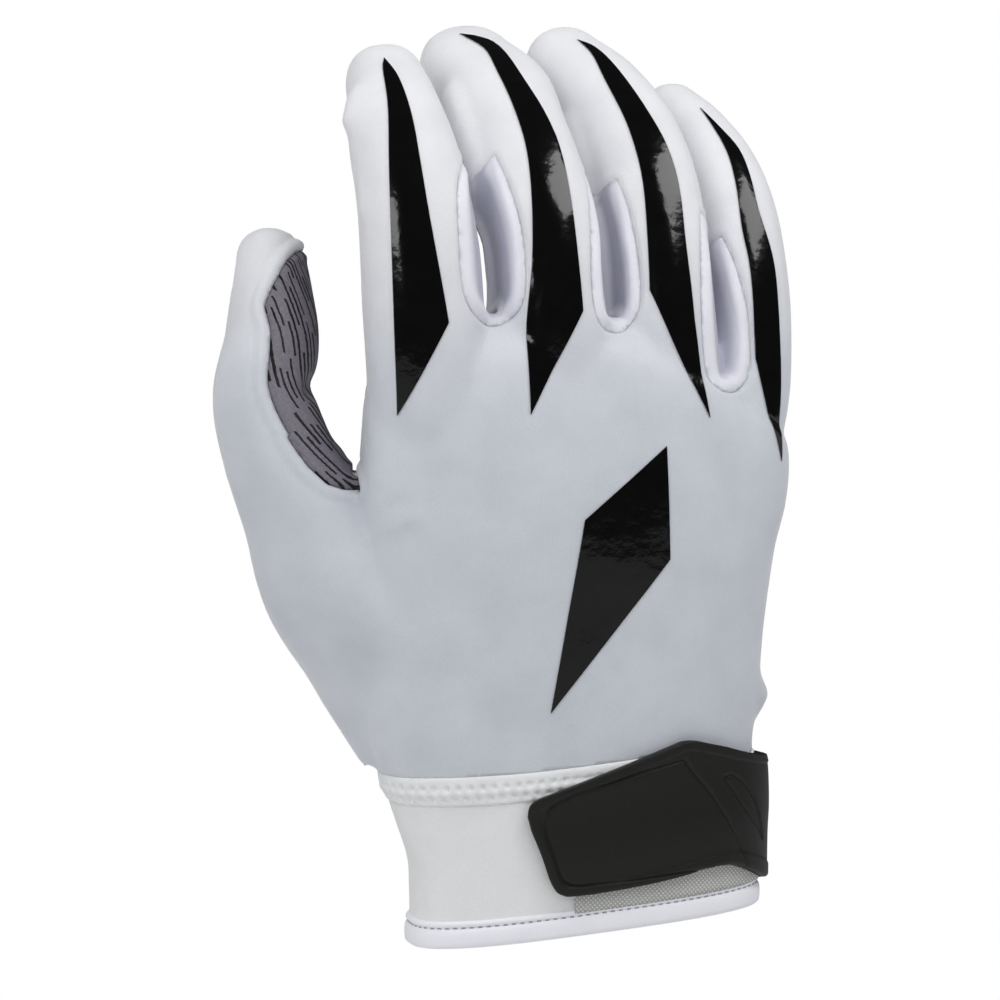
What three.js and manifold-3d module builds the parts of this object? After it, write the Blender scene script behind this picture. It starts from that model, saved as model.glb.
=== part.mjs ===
// Right-hand football receiver glove, filled as when it is worn. Millimetres.
// +Z points to the fingertips, -Y out of the back of the hand, +X to the little finger.
// The origin is the centre of the wrist opening.
import * as THREE from "three";
import { mergeVertices } from "three/addons/utils/BufferGeometryUtils.js";
import Module from "manifold-3d";

const wasm = await Module();
wasm.setup();

// Driving dimensions
const clothWall = 1.6;
const seamGap = 0.35;
const palmSquareness = 2.7;
const fingerSquareness = 2.3;
const palmSides = 26;
const fingerSides = 12;
const rowSpacing = 15; // about how far apart the rows of a finger are, and at its tip
const tipRowSpacing = 8;
const capSteps = 3;
const tipFlat = 0.12; // half width of the flat at a fingertip's end, as a share
const plateSteps = 3;

// Heights on the palm's axis where the wrist pieces end
const hem = { bottom: -0.9, fold: 0, top: 4.8, outer: 0.95, inner: -2.6 };
const band = { bottom: 33.4, top: 39.6, proud: 0.5 };
const handStart = band.top + seamGap;

// The palm and wrist: a row for each section
const palmColumns = ["height", "x", "wide", "y", "deep", "slope", "bow"];
const palmRows = tableOf(palmColumns, [
  [-6, 0.5, 41.1, 0, 17, 0.09, 0.003],
  [5, 0.7, 41.1, 0, 17, 0.1, 0.002],
  [12, 0.9, 41.2, 0, 17, 0.12, 0.001],
  [19, 1, 41.8, 0, 17, 0.12, 0.001],
  [28, -0.8, 43.7, 0, 16.5, 0.11, 0.001],
  [34, -2.1, 44.2, 0, 16.5, 0.1, 0.001],
  [50, -3.5, 45.4, 0.5, 17, 0.06, 0],
  [68, -3.7, 46.5, 0.5, 17, 0.02, 0],
  [86, -3, 48.1, 0.5, 17, -0.04, 0],
  [102, -1.8, 49.5, 0.5, 16, -0.08, -0.002],
  [118, -0.7, 49.7, 1, 14.5, -0.11, -0.004],
  [130, -0.3, 49, 2, 12.5, -0.14, -0.006],
  [136, -0.2, 46.5, 3, 8.5, -0.153, -0.008],
  [138.5, -0.2, 43, 3.5, 3.5, -0.153, -0.0083],
]);
const handHeights = [handStart, 50, 68, 86, 102, 118, 127, 133, 136.5, 138.5];
const palmHollowStart = 26;
const shoulder = 118;

// The fingers: centre, half width, half depth and turn about +Z in degrees, a row for each section
const fingerColumns = ["x", "y", "z", "wide", "deep", "turn"];
const fingers = {
  index: tableOf(fingerColumns, [
    [-34.5, -1, 103.5, 12, 10, -6],
    [-36.2, -1, 119.5, 13, 11, -6],
    [-37.6, 0, 137, 12.8, 11.5, -6],
    [-37.7, 2, 152.5, 12.4, 11.3, -6],
    [-38.4, 5, 165, 12.4, 11.2, -6],
    [-39.4, 10, 176, 11.9, 10.6, -6],
    [-40.3, 17, 185, 10.8, 9.8, -6],
    [-40.4, 23, 190, 9.8, 9, -6],
  ]),
  middle: tableOf(fingerColumns, [
    [-5, -1, 103, 12, 10, 0],
    [-6, -1, 119, 13, 11, 0],
    [-6.8, 0, 137, 11.8, 11.8, 0],
    [-7.6, 3, 152.5, 11.6, 11.8, 0],
    [-8.8, 8, 164.5, 11.8, 11.8, 0],
    [-10.8, 16, 176.5, 11.8, 11.2, 0],
    [-13.1, 27, 186.5, 11, 10.2, 0],
    [-16.1, 38, 193.5, 10, 9.2, 0],
  ]),
  ring: tableOf(fingerColumns, [
    [21.5, 1, 102.5, 12, 10, 5],
    [21.2, 2, 118, 12, 11, 5],
    [20.6, 4, 136.5, 11.2, 11.6, 5],
    [20.4, 8, 152, 11, 11.4, 5],
    [19.7, 13, 164.5, 11.2, 11.2, 5],
    [17.8, 21, 176.5, 11, 10.8, 5],
    [14.8, 32, 187, 10.4, 10, 5],
    [11.3, 42, 194, 9.6, 9.2, 5],
  ]),
  pinky: tableOf(fingerColumns, [
    [36, 3, 100, 9, 8, 11],
    [40.5, 6.5, 116, 9.8, 9.6, 11],
    [42.4, 10.5, 131, 9.8, 10.4, 11],
    [42.8, 14, 145, 9.6, 10.4, 11],
    [42.3, 20, 158.5, 9.6, 10.2, 11],
    [40.3, 27, 169, 9.4, 9.8, 11],
    [38.7, 35, 177.5, 9, 9.2, 11],
    [36.9, 42, 183, 8.4, 8.4, 11],
  ]),
  thumb: tableOf(fingerColumns, [
    [-27, 5, 47, 13, 12, -20],
    [-43.5, 7, 61.5, 18, 14, -32],
    [-57, 9, 76, 18.2, 13.5, -45],
    [-64, 11, 92, 16, 13, -52],
    [-67.3, 13, 106.5, 14, 12.5, -56],
    [-68.7, 16, 120, 12.2, 11.6, -60],
    [-67.5, 20, 132, 11, 11, -60],
    [-66.2, 25, 143, 9.8, 10.2, -60],
    [-66, 28, 149.5, 8.8, 9, -60],
  ]),
};

// Where the seam between back and palm runs on the hand: depth (y) at three widths (x)
const seamWidths = { thumbSide: -78, indexSide: -48, littleSide: 55 };
const seamColumns = ["height", "thumbSide", "indexSide", "littleSide"];
const seamRows = tableOf(seamColumns, [
  [-20, 4, 4, 4],
  [45, 8, 4, 4],
  [60, 14, 4, 4],
  [80, 18, 4, 4.5],
  [100, 22, 3.5, 6],
  [118, 30, 3, 12],
  [124, 30, 3, 14],
  [128, 30, -2, 6],
  [143, 30, -2, 8],
]);
const fingerSeam = 0.3; // the side seam of a finger, as a share of its half depth
const fingerSeamStops = [1.2, 2, 3, 4, 5, 6, 7, 8.6];
const backReach = { side: 1.5, deep: 26, far: 70, aside: 60 };
const thumbBack = { left: -110, right: -52.5, back: -60, front: 90, low: 100, high: 175 };

// The grip panel of the thumb: its edge on the near and far side, as a share of the half depth
const thumbGripColumns = ["at", "near", "far"];
const thumbGripRows = tableOf(thumbGripColumns, [
  [3.45, 0.6, -0.3],
  [3.62, -0.1, -0.35],
  [4, -0.42, -0.38],
  [5, -0.68, -0.38],
  [6, -0.8, -0.38],
  [7, -0.65, -0.35],
  [8, -0.3, -0.2],
  [8.9, 0.4, 0.4],
]);
const gripReach = { around: 0.8, side: 4 };

// The side walls between the fingers: dorsal and palmar edge, as shares of the half depth
const gussetColumns = ["at", "dorsal", "palmar"];
const gussetRows = tableOf(gussetColumns, [
  [1.5, -0.62, 0.65],
  [3, -0.62, 0.65],
  [5, -0.45, 0.6],
  [6, -0.15, 0.5],
  [6.8, 0.2, 0.38],
]);
const webs = {
  index_middle: { from: "index", to: "middle", left: -37, right: -7, height: 137.5, back: -7, front: 8 },
  middle_ring: { from: "middle", to: "ring", left: -7, right: 20, height: 136, back: -5, front: 10 },
  ring_pinky: { from: "ring", to: "pinky", left: 20, right: 42, height: 123, back: 0, front: 13 },
};
const webBelow = 6;
const webAbove = 6;
const gussetSides = { inner: 0.45, outer: 1.2 };

// Flat trim on the back: thickness and the outlines (x, z) as seen from the back
const trim = { lift: 0.3, thick: 0.7 };
const stripes = {
  index: [
    [-42.3, 197.5], [-40.3, 191], [-39.1, 182], [-38.9, 173], [-38, 160], [-34.3, 137],
    [-45.3, 116.5], [-45.8, 136], [-45.7, 172], [-44.6, 185],
  ],
  middle: [
    [-17.5, 200.6], [-14.5, 200.2], [-11.2, 198.5], [-8.7, 189], [-5.8, 181.5], [-4.6, 174], [-3.8, 154],
    [-3.2, 139.5], [-15.9, 116.5], [-15.6, 136.5], [-14.3, 149.5], [-13.5, 163], [-12.9, 175.5],
    [-13.6, 183.5], [-14.6, 191], [-15.4, 197.5],
  ],
  ring: [
    [8.4, 201.5], [12.5, 197.5], [15.1, 193.6], [18.6, 183.5], [21.5, 176], [23.1, 168], [23.2, 156.5],
    [24, 137], [26.4, 115], [18.7, 132], [14.1, 143.5], [15, 158], [15, 170], [14.3, 181], [12.1, 190.5],
  ],
  pinky: [
    [36.7, 185.5], [40.2, 180], [43.1, 176], [44.2, 169.5], [44.6, 162], [46.7, 151.5], [47, 142],
    [47, 121.5], [45.1, 104.5], [40.4, 127.5], [41.1, 147], [40.1, 157], [40.3, 169], [40.6, 175],
  ],
};
const kite = { footX: -12, footZ: 50, length: 65, halfWidth: 11, lean: 25, shoulder: 0.65 };

// The closure tab, measured around the wrist from the middle of its back: lower and upper edge
const strap = { lift: 1.4, thick: 2 };
const strapColumns = ["around", "low", "high"];
const strapRows = tableOf(strapColumns, [
  [-17.2, 24.5, 28.5],
  [-16.2, 21.5, 31],
  [-14, 16, 32.7],
  [-12, 11.8, 33.5],
  [-9.5, 10.1, 34.3],
  [-4, 9.6, 35.5],
  [4, 9.4, 36.9],
  [11, 9, 38.4],
  [18.5, 8.3, 39.7],
  [22, 8, 39.3],
  [30, 6.8, 36.2],
  [35, 5.8, 34.4],
  [40, 5.2, 32.8],
  [44, 5, 32],
  [48, 5, 31.5],
  [52, 5, 31.2],
  [56, 5.2, 31],
  [60, 5.5, 31],
  [66, 6.5, 31],
  [74, 7.5, 30.5],
  [82, 8, 30],
]);
const loopPatch = { lift: 0.3, thick: 0.7, low: 6.2, high: 28, from: -9, to: 47, step: 5 };

// A table as objects with the named columns
function tableOf(columns, rows) {
  return rows.map((row) => Object.fromEntries(columns.map((name, i) => [name, row[i]])));
}

// Catmull-Rom between the rows of a table, for every column
function sample(rows, at) {
  const last = rows.length - 1;
  const i = Math.min(Math.max(Math.floor(at), 0), last - 1);
  const f = at - i;
  const result = {};
  for (const name of Object.keys(rows[0])) {
    const b = rows[i][name];
    const c = rows[i + 1][name];
    const a = i > 0 ? rows[i - 1][name] : 2 * b - c;
    const d = i + 2 <= last ? rows[i + 2][name] : 2 * c - b;
    const cubic = (3 * b - a - 3 * c + d) * f ** 3;
    result[name] = 0.5 * (2 * b + (c - a) * f + (2 * a - 5 * b + 4 * c - d) * f ** 2 + cubic);
  }
  return result;
}

// Straight lines between the rows of a table, looked up by its first column
function lookUp(rows, value) {
  const key = Object.keys(rows[0])[0];
  const last = rows.length - 1;
  let i = 0;
  while (i < last - 1 && value > rows[i + 1][key]) i += 1;
  const f = Math.min(Math.max((value - rows[i][key]) / (rows[i + 1][key] - rows[i][key]), 0), 1);
  const result = {};
  for (const name of Object.keys(rows[0])) {
    result[name] = rows[i][name] * (1 - f) + rows[i + 1][name] * f;
  }
  return result;
}

function powered(value, squareness) {
  return Math.sign(value) * Math.abs(value) ** (2 / squareness);
}

function palmRowAt(height) {
  let i = 0;
  while (i < palmRows.length - 2 && height > palmRows[i + 1].height) i += 1;
  const f = (height - palmRows[i].height) / (palmRows[i + 1].height - palmRows[i].height);
  return { ...sample(palmRows, i + f), height };
}

// A point of the palm's surface, grown outwards: angle 0 is the little finger's side, -90 degrees the back
function palmPoint(height, angle, grow) {
  const row = palmRowAt(height);
  const x = row.x + (row.wide + grow) * powered(Math.cos(angle), palmSquareness);
  const y = row.y + (row.deep + grow) * powered(Math.sin(angle), palmSquareness);
  return new THREE.Vector3(x, y, height + row.slope * x + row.bow * x * x);
}

function turnAngles(sides) {
  return Array.from({ length: sides }, (_, k) => (2 * Math.PI * k) / sides);
}

function palmRing(height, grow, drop = 0) {
  return turnAngles(palmSides).map((angle) => {
    const point = palmPoint(height, angle, grow);
    point.z -= drop;
    return point;
  });
}

// Centre, side and palm directions of a finger; beyond the last row it goes straight on for one cap
function fingerFrame(rows, at) {
  const last = rows.length - 1;
  const inside = Math.min(at, last);
  const row = sample(rows, inside);
  const before = sample(rows, Math.max(inside - 0.05, 0));
  const after = sample(rows, Math.min(inside + 0.05, last));
  const centre = new THREE.Vector3(row.x, row.y, row.z);
  const along = new THREE.Vector3(after.x - before.x, after.y - before.y, after.z - before.z).normalize();
  const turn = THREE.MathUtils.degToRad(row.turn);
  const side = new THREE.Vector3(Math.cos(turn), Math.sin(turn), 0);
  side.addScaledVector(along, -side.dot(along)).normalize();
  const palmar = new THREE.Vector3().crossVectors(along, side);
  centre.addScaledVector(along, (at - inside) * rows[last].wide);
  return { centre, along, side, palmar, wide: row.wide, deep: row.deep };
}

function fingerRing(frame, wide, deep) {
  return turnAngles(fingerSides).map((angle) =>
    frame.centre
      .clone()
      .addScaledVector(frame.side, wide * powered(Math.cos(angle), fingerSquareness))
      .addScaledVector(frame.palmar, deep * powered(Math.sin(angle), fingerSquareness)),
  );
}

function fingerTube(rows, grow) {
  const last = rows.length - 1;
  const rings = [];
  for (let i = 0; i <= last; i += 1) {
    const frame = fingerFrame(rows, i);
    rings.push(fingerRing(frame, frame.wide + grow, frame.deep + grow));
  }
  for (let k = 1; k <= capSteps; k += 1) {
    const rise = (k / capSteps) * (Math.PI / 2);
    const frame = fingerFrame(rows, last);
    const shrink = Math.max(Math.cos(rise), tipFlat);
    frame.centre.addScaledVector(frame.along, (rows[last].wide + grow) * Math.sin(rise));
    rings.push(fingerRing(frame, (frame.wide + grow) * shrink, (frame.deep + grow) * shrink));
  }
  return loft(rings);
}

function palmTube(grow, start) {
  const heights = [start, ...handHeights.filter((height) => height > start + 1)];
  const rings = heights.map((height) => palmRing(height, grow, -grow * topShare(height)));
  return loft(rings, true);
}

// How far the palm's surface has turned towards the fingers at a height, from 0 to 1
function topShare(height) {
  const top = handHeights[handHeights.length - 1];
  return Math.min(Math.max((height - shoulder) / (top - shoulder), 0), 1);
}

// A closed solid through rings of equal length, its ends closed by fans or straight across
function loft(rings, across = false) {
  const count = rings[0].length;
  const points = rings.flat();
  const triangles = [];
  for (let i = 0; i + 1 < rings.length; i += 1) {
    for (let k = 0; k < count; k += 1) {
      const a = i * count + k;
      const b = i * count + ((k + 1) % count);
      triangles.push(a, b, b + count, a, b + count, a + count);
    }
  }
  const ends = [
    [0, true],
    [rings.length - 1, false],
  ];
  for (const [i, first] of ends) {
    if (across) {
      triangles.push(...capAcross(i * count, count, first));
      continue;
    }
    const middle = points.length;
    points.push(centreOf(rings[i]));
    for (let k = 0; k < count; k += 1) {
      const a = i * count + k;
      const b = i * count + ((k + 1) % count);
      triangles.push(middle, first ? b : a, first ? a : b);
    }
  }
  return solidFrom(points, triangles);
}

// The triangles that close a ring from its front half straight over to its back half
function capAcross(start, count, first) {
  const triangles = [];
  const corner = (k) => start + ((k + count) % count);
  for (let k = 0; k < count / 2; k += 1) {
    const quad = [corner(k), corner(k + 1), corner(-k - 1), corner(-k)];
    if (k > 0) triangles.push(...(first ? [quad[0], quad[3], quad[1]] : [quad[0], quad[1], quad[3]]));
    if (k + 1 < count / 2) {
      triangles.push(...(first ? [quad[1], quad[3], quad[2]] : [quad[1], quad[2], quad[3]]));
    }
  }
  return triangles;
}

// A closed band: rings that come back to the first one
function hoop(rings) {
  const count = rings[0].length;
  const triangles = [];
  for (let i = 0; i < rings.length; i += 1) {
    const next = (i + 1) % rings.length;
    for (let k = 0; k < count; k += 1) {
      const l = (k + 1) % count;
      triangles.push(i * count + k, i * count + l, next * count + l);
      triangles.push(i * count + k, next * count + l, next * count + k);
    }
  }
  return solidFrom(rings.flat(), triangles);
}

function centreOf(points) {
  const centre = new THREE.Vector3();
  points.forEach((point) => centre.add(point));
  return centre.divideScalar(points.length);
}

function solidFrom(points, triangles) {
  const geometry = new THREE.BufferGeometry().setFromPoints(points).setIndex(triangles);
  return solidOf(geometry);
}

// A solid from a closed geometry, turned outwards if its faces point in
function solidOf(geometry) {
  const bare = geometry.clone();
  bare.deleteAttribute("normal");
  bare.deleteAttribute("uv");
  const merged = mergeVertices(bare, 1e-4);
  const triVerts = new Uint32Array(merged.index.array);
  const vertProperties = new Float32Array(merged.attributes.position.array);
  const make = () => new wasm.Manifold(new wasm.Mesh({ numProp: 3, vertProperties, triVerts }));
  const solid = make();
  if (solid.volume() > 0) return solid;
  for (let i = 0; i < triVerts.length; i += 3) {
    [triVerts[i + 1], triVerts[i + 2]] = [triVerts[i + 2], triVerts[i + 1]];
  }
  return make();
}

function join(solids) {
  return solids.reduce((whole, solid) => whole.add(solid));
}

// The main body of a cut, without the crumbs that a cut can leave
function mainBody(solid) {
  const bodies = solid.decompose();
  return bodies.reduce((best, body) => (body.volume() > best.volume() ? body : best));
}

function outerForm(grow, start = handStart) {
  const tubes = Object.values(fingers).map((rows) => fingerTube(rows, grow));
  return join([palmTube(grow, start), ...tubes]);
}

// A box between two corners
function block(low, high) {
  const size = high.map((value, i) => value - low[i]);
  const geometry = new THREE.BoxGeometry(...size);
  geometry.translate(...low.map((value, i) => value + size[i] / 2));
  return solidOf(geometry);
}

// A solid along a finger: corners() gives each section as [side, palmar] pairs
function fingerCut(rows, stops, corners) {
  return loft(
    stops.map((at) => {
      const frame = fingerFrame(rows, at);
      return corners(at, frame).map(([side, palmar]) =>
        frame.centre.clone().addScaledVector(frame.side, side).addScaledVector(frame.palmar, palmar),
      );
    }),
  );
}

function stopsBetween(from, to, step) {
  const count = Math.ceil((to - from) / step);
  return Array.from({ length: count + 1 }, (_, i) => from + ((to - from) * i) / count);
}

// Everything on the back's side of the side seams
function backField(extra) {
  const hand = loft(
    seamRows.map((row) => {
      const widths = Object.keys(seamWidths);
      const seam = widths.map((name) => new THREE.Vector3(seamWidths[name], row[name] + extra, row.height));
      const left = seam[0].clone().setX(seamWidths.thumbSide - backReach.aside);
      const right = seam[2].clone().setX(seamWidths.littleSide + backReach.aside);
      const farSide = [left.clone().setY(-backReach.far), right.clone().setY(-backReach.far)];
      return [...farSide, right, ...seam.reverse(), left];
    }),
  );
  const fingerParts = ["index", "middle", "ring", "pinky"].map((name) => {
    return fingerCut(fingers[name], fingerSeamStops, (at, frame) => {
      const reach = frame.wide + backReach.side;
      const seam = fingerSeam * frame.deep + extra;
      return [[-reach, -backReach.deep], [reach, -backReach.deep], [reach, seam], [-reach, seam]];
    });
  });
  const thumbPart = block(
    [thumbBack.left, thumbBack.back, thumbBack.low],
    [thumbBack.right, thumbBack.front, thumbBack.high],
  );
  return join([hand, thumbPart, ...fingerParts]);
}

// The field of the thumb's grip panel: near the thumb and on the palm's side of its edge
function thumbGripField(extra) {
  const rows = fingers.thumb;
  const stops = thumbGripRows.map((row) => row.at);
  stops[0] -= extra / rowSpacing;
  const half = fingerCut(rows, stops, (at, frame) => {
    const edge = lookUp(thumbGripRows, at);
    const reach = frame.wide + gripReach.side;
    const front = frame.deep + gripReach.side;
    const near = edge.near * frame.deep - extra;
    const far = edge.far * frame.deep - extra;
    return [[-reach, far], [reach, near], [reach, front], [-reach, front]];
  });
  return half.intersect(fingerTube(rows, gripReach.around + extra));
}

// The field of one side wall: along the facing sides of two fingers and across the web between them
function gussetField(web, extra) {
  const side = (name, facing) => {
    const stops = gussetRows.map((row) => row.at);
    stops[0] -= extra / rowSpacing;
    stops[stops.length - 1] += extra / tipRowSpacing;
    return fingerCut(fingers[name], stops, (at, frame) => {
      const edge = lookUp(gussetRows, at);
      const near = facing * (gussetSides.inner * frame.wide - extra);
      const far = facing * (frame.wide + gussetSides.outer);
      const dorsal = edge.dorsal * frame.deep - extra;
      const palmar = edge.palmar * frame.deep + extra;
      return [[near, dorsal], [far, dorsal], [far, palmar], [near, palmar]];
    });
  };
  const low = web.height - webBelow - extra;
  const bridge = block(
    [web.left, web.back - extra, low],
    [web.right, web.front + extra, web.height + webAbove],
  );
  return join([side(web.from, 1), side(web.to, -1), bridge]);
}

// A flat outline in x and z, drawn out along y
function prism(outline) {
  const shape = new THREE.Shape(outline.map(([x, z]) => new THREE.Vector2(x, z)));
  const length = 160;
  const geometry = new THREE.ExtrudeGeometry(shape, { depth: length, bevelEnabled: false, steps: 1 });
  geometry.rotateX(Math.PI / 2);
  geometry.translate(0, length / 2, 0);
  return solidOf(geometry);
}

function kiteOutline() {
  const lean = THREE.MathUtils.degToRad(kite.lean);
  const along = new THREE.Vector2(Math.sin(lean), Math.cos(lean));
  const across = new THREE.Vector2(along.y, -along.x);
  const foot = new THREE.Vector2(kite.footX, kite.footZ);
  const corner = (share, aside) => {
    const point = foot.clone().addScaledVector(along, share * kite.length).addScaledVector(across, aside);
    return [point.x, point.y];
  };
  return [
    corner(0, 0),
    corner(kite.shoulder, kite.halfWidth),
    corner(1, 0),
    corner(kite.shoulder, -kite.halfWidth),
  ];
}

// A wall round the wrist from a profile of [grow, height] pairs
function wristWall(profile) {
  return hoop(
    turnAngles(palmSides).map((angle) => profile.map(([grow, height]) => palmPoint(height, angle, grow))),
  );
}

function wallProfile(inner, outer, heights) {
  const up = heights.map((height) => [outer, height]);
  const down = heights.map((height) => [inner, height]).reverse();
  return [...up, ...down];
}

// The angle at a distance around the wrist from the middle of its back
function wristAngles() {
  const height = 18; // the middle of the closure tab
  const steps = 720;
  const list = [{ around: 0, angle: -Math.PI / 2 }];
  let previous = palmPoint(height, -Math.PI / 2, 0);
  for (let i = 1; i <= steps; i += 1) {
    const angle = -Math.PI / 2 + (Math.PI * i) / steps;
    const point = palmPoint(height, angle, 0);
    list.push({ around: list[i - 1].around + point.distanceTo(previous), angle });
    previous = point;
  }
  return list;
}

const wristAngleList = wristAngles();

function wristAngle(around) {
  const { angle } = lookUp(wristAngleList, Math.abs(around));
  return around < 0 ? -Math.PI - angle : angle;
}

// A plate that lies round the wrist, from rows of its lower and upper edge
function wristPlate(rows, lift, thick) {
  return loft(
    rows.map(({ around, low, high }) => {
      const angle = wristAngle(around);
      const heights = stopsBetween(low, high, (high - low) / plateSteps);
      const inner = heights.map((height) => palmPoint(height, angle, lift));
      const outer = heights.map((height) => palmPoint(height, angle, lift + thick));
      return [...inner, ...outer.reverse()];
    }),
  );
}

const finishes = {
  backCloth: { color: 0xdfe3ea, roughness: 0.85, metalness: 0 },
  gripSheet: { color: 0x7b7680, roughness: 0.5, metalness: 0 },
  sideCloth: { color: 0xcfcfdc, roughness: 0.85, metalness: 0 },
  knit: { color: 0xe4e4e2, roughness: 0.9, metalness: 0 },
  hemTape: { color: 0xdcdcec, roughness: 0.8, metalness: 0 },
  loopMesh: { color: 0xb4b4ae, roughness: 0.9, metalness: 0 },
  rubber: { color: 0x1e1e1c, roughness: 0.45, metalness: 0 },
  film: { color: 0x0b0b0c, roughness: 0.25, metalness: 0 },
};
const materials = Object.fromEntries(
  Object.entries(finishes).map(([name, finish]) => [name, new THREE.MeshStandardMaterial(finish)]),
);

function meshFrom(name, solid, material) {
  const mesh = solid.getMesh();
  const geometry = new THREE.BufferGeometry();
  geometry.setAttribute("position", new THREE.BufferAttribute(new Float32Array(mesh.vertProperties), 3));
  geometry.setIndex(new THREE.BufferAttribute(new Uint32Array(mesh.triVerts), 1));
  const result = new THREE.Mesh(geometry, material);
  result.name = name;
  return result;
}

// The hollow hand and its sewn panels
function makePanels() {
  const shell = outerForm(0).subtract(outerForm(-clothWall, palmHollowStart));
  const thumbField = thumbGripField(seamGap);
  const gussetFields = Object.values(webs).map((web) => gussetField(web, seamGap));
  const body = gussetFields.reduce((left, field) => left.subtract(field), shell.subtract(thumbField));
  const panels = {
    back_panel: mainBody(body.intersect(backField(0))),
    palm_panel: mainBody(body.subtract(backField(seamGap))),
    thumb_grip: mainBody(shell.intersect(thumbGripField(0))),
  };
  for (const [name, web] of Object.entries(webs)) {
    panels["gusset_" + name] = mainBody(shell.intersect(gussetField(web, 0)));
  }
  return panels;
}

// The blades on the fingers and the kite, as films on the back of the hand
function makeTrim() {
  const layer = outerForm(trim.lift + trim.thick).subtract(outerForm(trim.lift));
  const dorsal = layer.intersect(backField(0));
  const result = {};
  for (const [name, outline] of Object.entries(stripes)) {
    result["stripe_" + name] = mainBody(dorsal.intersect(prism(outline)));
  }
  result.back_kite = mainBody(dorsal.intersect(prism(kiteOutline())));
  return result;
}

function makeWrist() {
  const cuffTop = band.bottom - seamGap;
  const cuffHeights = [hem.fold + seamGap, 12, 19, 28, cuffTop];
  const bandProfile = wallProfile(-clothWall, band.proud, [band.bottom, band.top]);
  const inside = -clothWall - seamGap;
  const hemProfile = [
    [hem.outer, hem.bottom],
    [hem.outer, hem.top],
    [seamGap, hem.top],
    [seamGap, hem.fold],
    [inside, hem.fold],
    [inside, hem.top],
    [hem.inner, hem.top],
    [hem.inner, hem.bottom],
  ];
  const patchRows = stopsBetween(loopPatch.from, loopPatch.to, loopPatch.step).map((around) => ({
    around,
    low: loopPatch.low,
    high: loopPatch.high,
  }));
  return {
    cuff: wristWall(wallProfile(-clothWall, 0, cuffHeights)),
    seam_band: wristWall(bandProfile),
    hem_binding: wristWall(hemProfile),
    loop_patch: wristPlate(patchRows, loopPatch.lift, loopPatch.thick),
    strap: wristPlate(strapRows, strap.lift, strap.thick),
  };
}

const materialOf = {
  back_panel: "backCloth",
  palm_panel: "gripSheet",
  thumb_grip: "gripSheet",
  cuff: "knit",
  seam_band: "knit",
  hem_binding: "hemTape",
  loop_patch: "loopMesh",
  strap: "rubber",
};

function materialFor(name) {
  if (name.startsWith("gusset")) return materials.sideCloth;
  if (name.startsWith("stripe") || name === "back_kite") return materials.film;
  return materials[materialOf[name]];
}

const glove = new THREE.Group();
const solids = { ...makePanels(), ...makeTrim(), ...makeWrist() };
for (const [name, solid] of Object.entries(solids)) {
  glove.add(meshFrom(name, solid, materialFor(name)));
}

export default glove;
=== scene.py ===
import math
import bpy
import bmesh
import numpy as np
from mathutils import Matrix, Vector, kdtree, noise


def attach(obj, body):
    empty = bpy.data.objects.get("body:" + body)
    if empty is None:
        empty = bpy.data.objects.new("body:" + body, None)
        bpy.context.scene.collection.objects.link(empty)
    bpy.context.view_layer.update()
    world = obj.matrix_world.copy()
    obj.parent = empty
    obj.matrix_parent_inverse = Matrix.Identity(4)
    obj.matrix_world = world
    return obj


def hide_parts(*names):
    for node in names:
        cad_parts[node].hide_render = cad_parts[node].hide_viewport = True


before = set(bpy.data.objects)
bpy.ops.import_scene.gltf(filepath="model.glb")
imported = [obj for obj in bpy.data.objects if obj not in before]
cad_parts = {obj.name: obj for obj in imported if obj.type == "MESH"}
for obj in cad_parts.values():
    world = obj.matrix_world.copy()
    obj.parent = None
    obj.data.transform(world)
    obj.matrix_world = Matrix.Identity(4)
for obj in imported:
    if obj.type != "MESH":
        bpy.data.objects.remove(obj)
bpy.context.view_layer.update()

# Lengths are in millimetres until a piece is finished, when it is scaled to metres.
# +Z points to the fingertips, -Y out of the back of the hand, +X to the little finger.

general = {
    "toMetres": 0.001,
    "remesh": 0.94,
    "smoothRounds": 8,
    "palmSquareness": 2.7,
    "fingerSquareness": 2.3,
    "placeLength": 15,  # from one section of a finger to the next, roughly
    "snap": 0.15,  # a point this near a seam, as a share of its edge, moves onto the seam
    "panelWall": 1.3,
}

# camera first, at the photograph's angle
camera = {
    "azimuth": -15.0,
    "elevation": 5.0,
    "lens": 150.0,
    "sensor": 36.0,
    "aim": (-0.0193, 0.0, 0.0964),
    "distance": 0.9375,
    "clipEnd": 20.0,
}


def makeCamera():
    azimuth, elevation = math.radians(camera["azimuth"]), math.radians(camera["elevation"])
    back = Vector((math.sin(azimuth) * math.cos(elevation),
                   -math.cos(azimuth) * math.cos(elevation), math.sin(elevation)))
    data = bpy.data.cameras.new("camera")
    data.lens = camera["lens"]
    data.sensor_width = camera["sensor"]
    data.clip_end = camera["clipEnd"]
    eye = bpy.data.objects.new("camera", data)
    eye.location = Vector(camera["aim"]) + back * camera["distance"]
    eye.rotation_euler = back.to_track_quat("Z", "Y").to_euler()
    bpy.context.scene.collection.objects.link(eye)
    bpy.context.scene.camera = eye


makeCamera()
print("camera placed")

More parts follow.
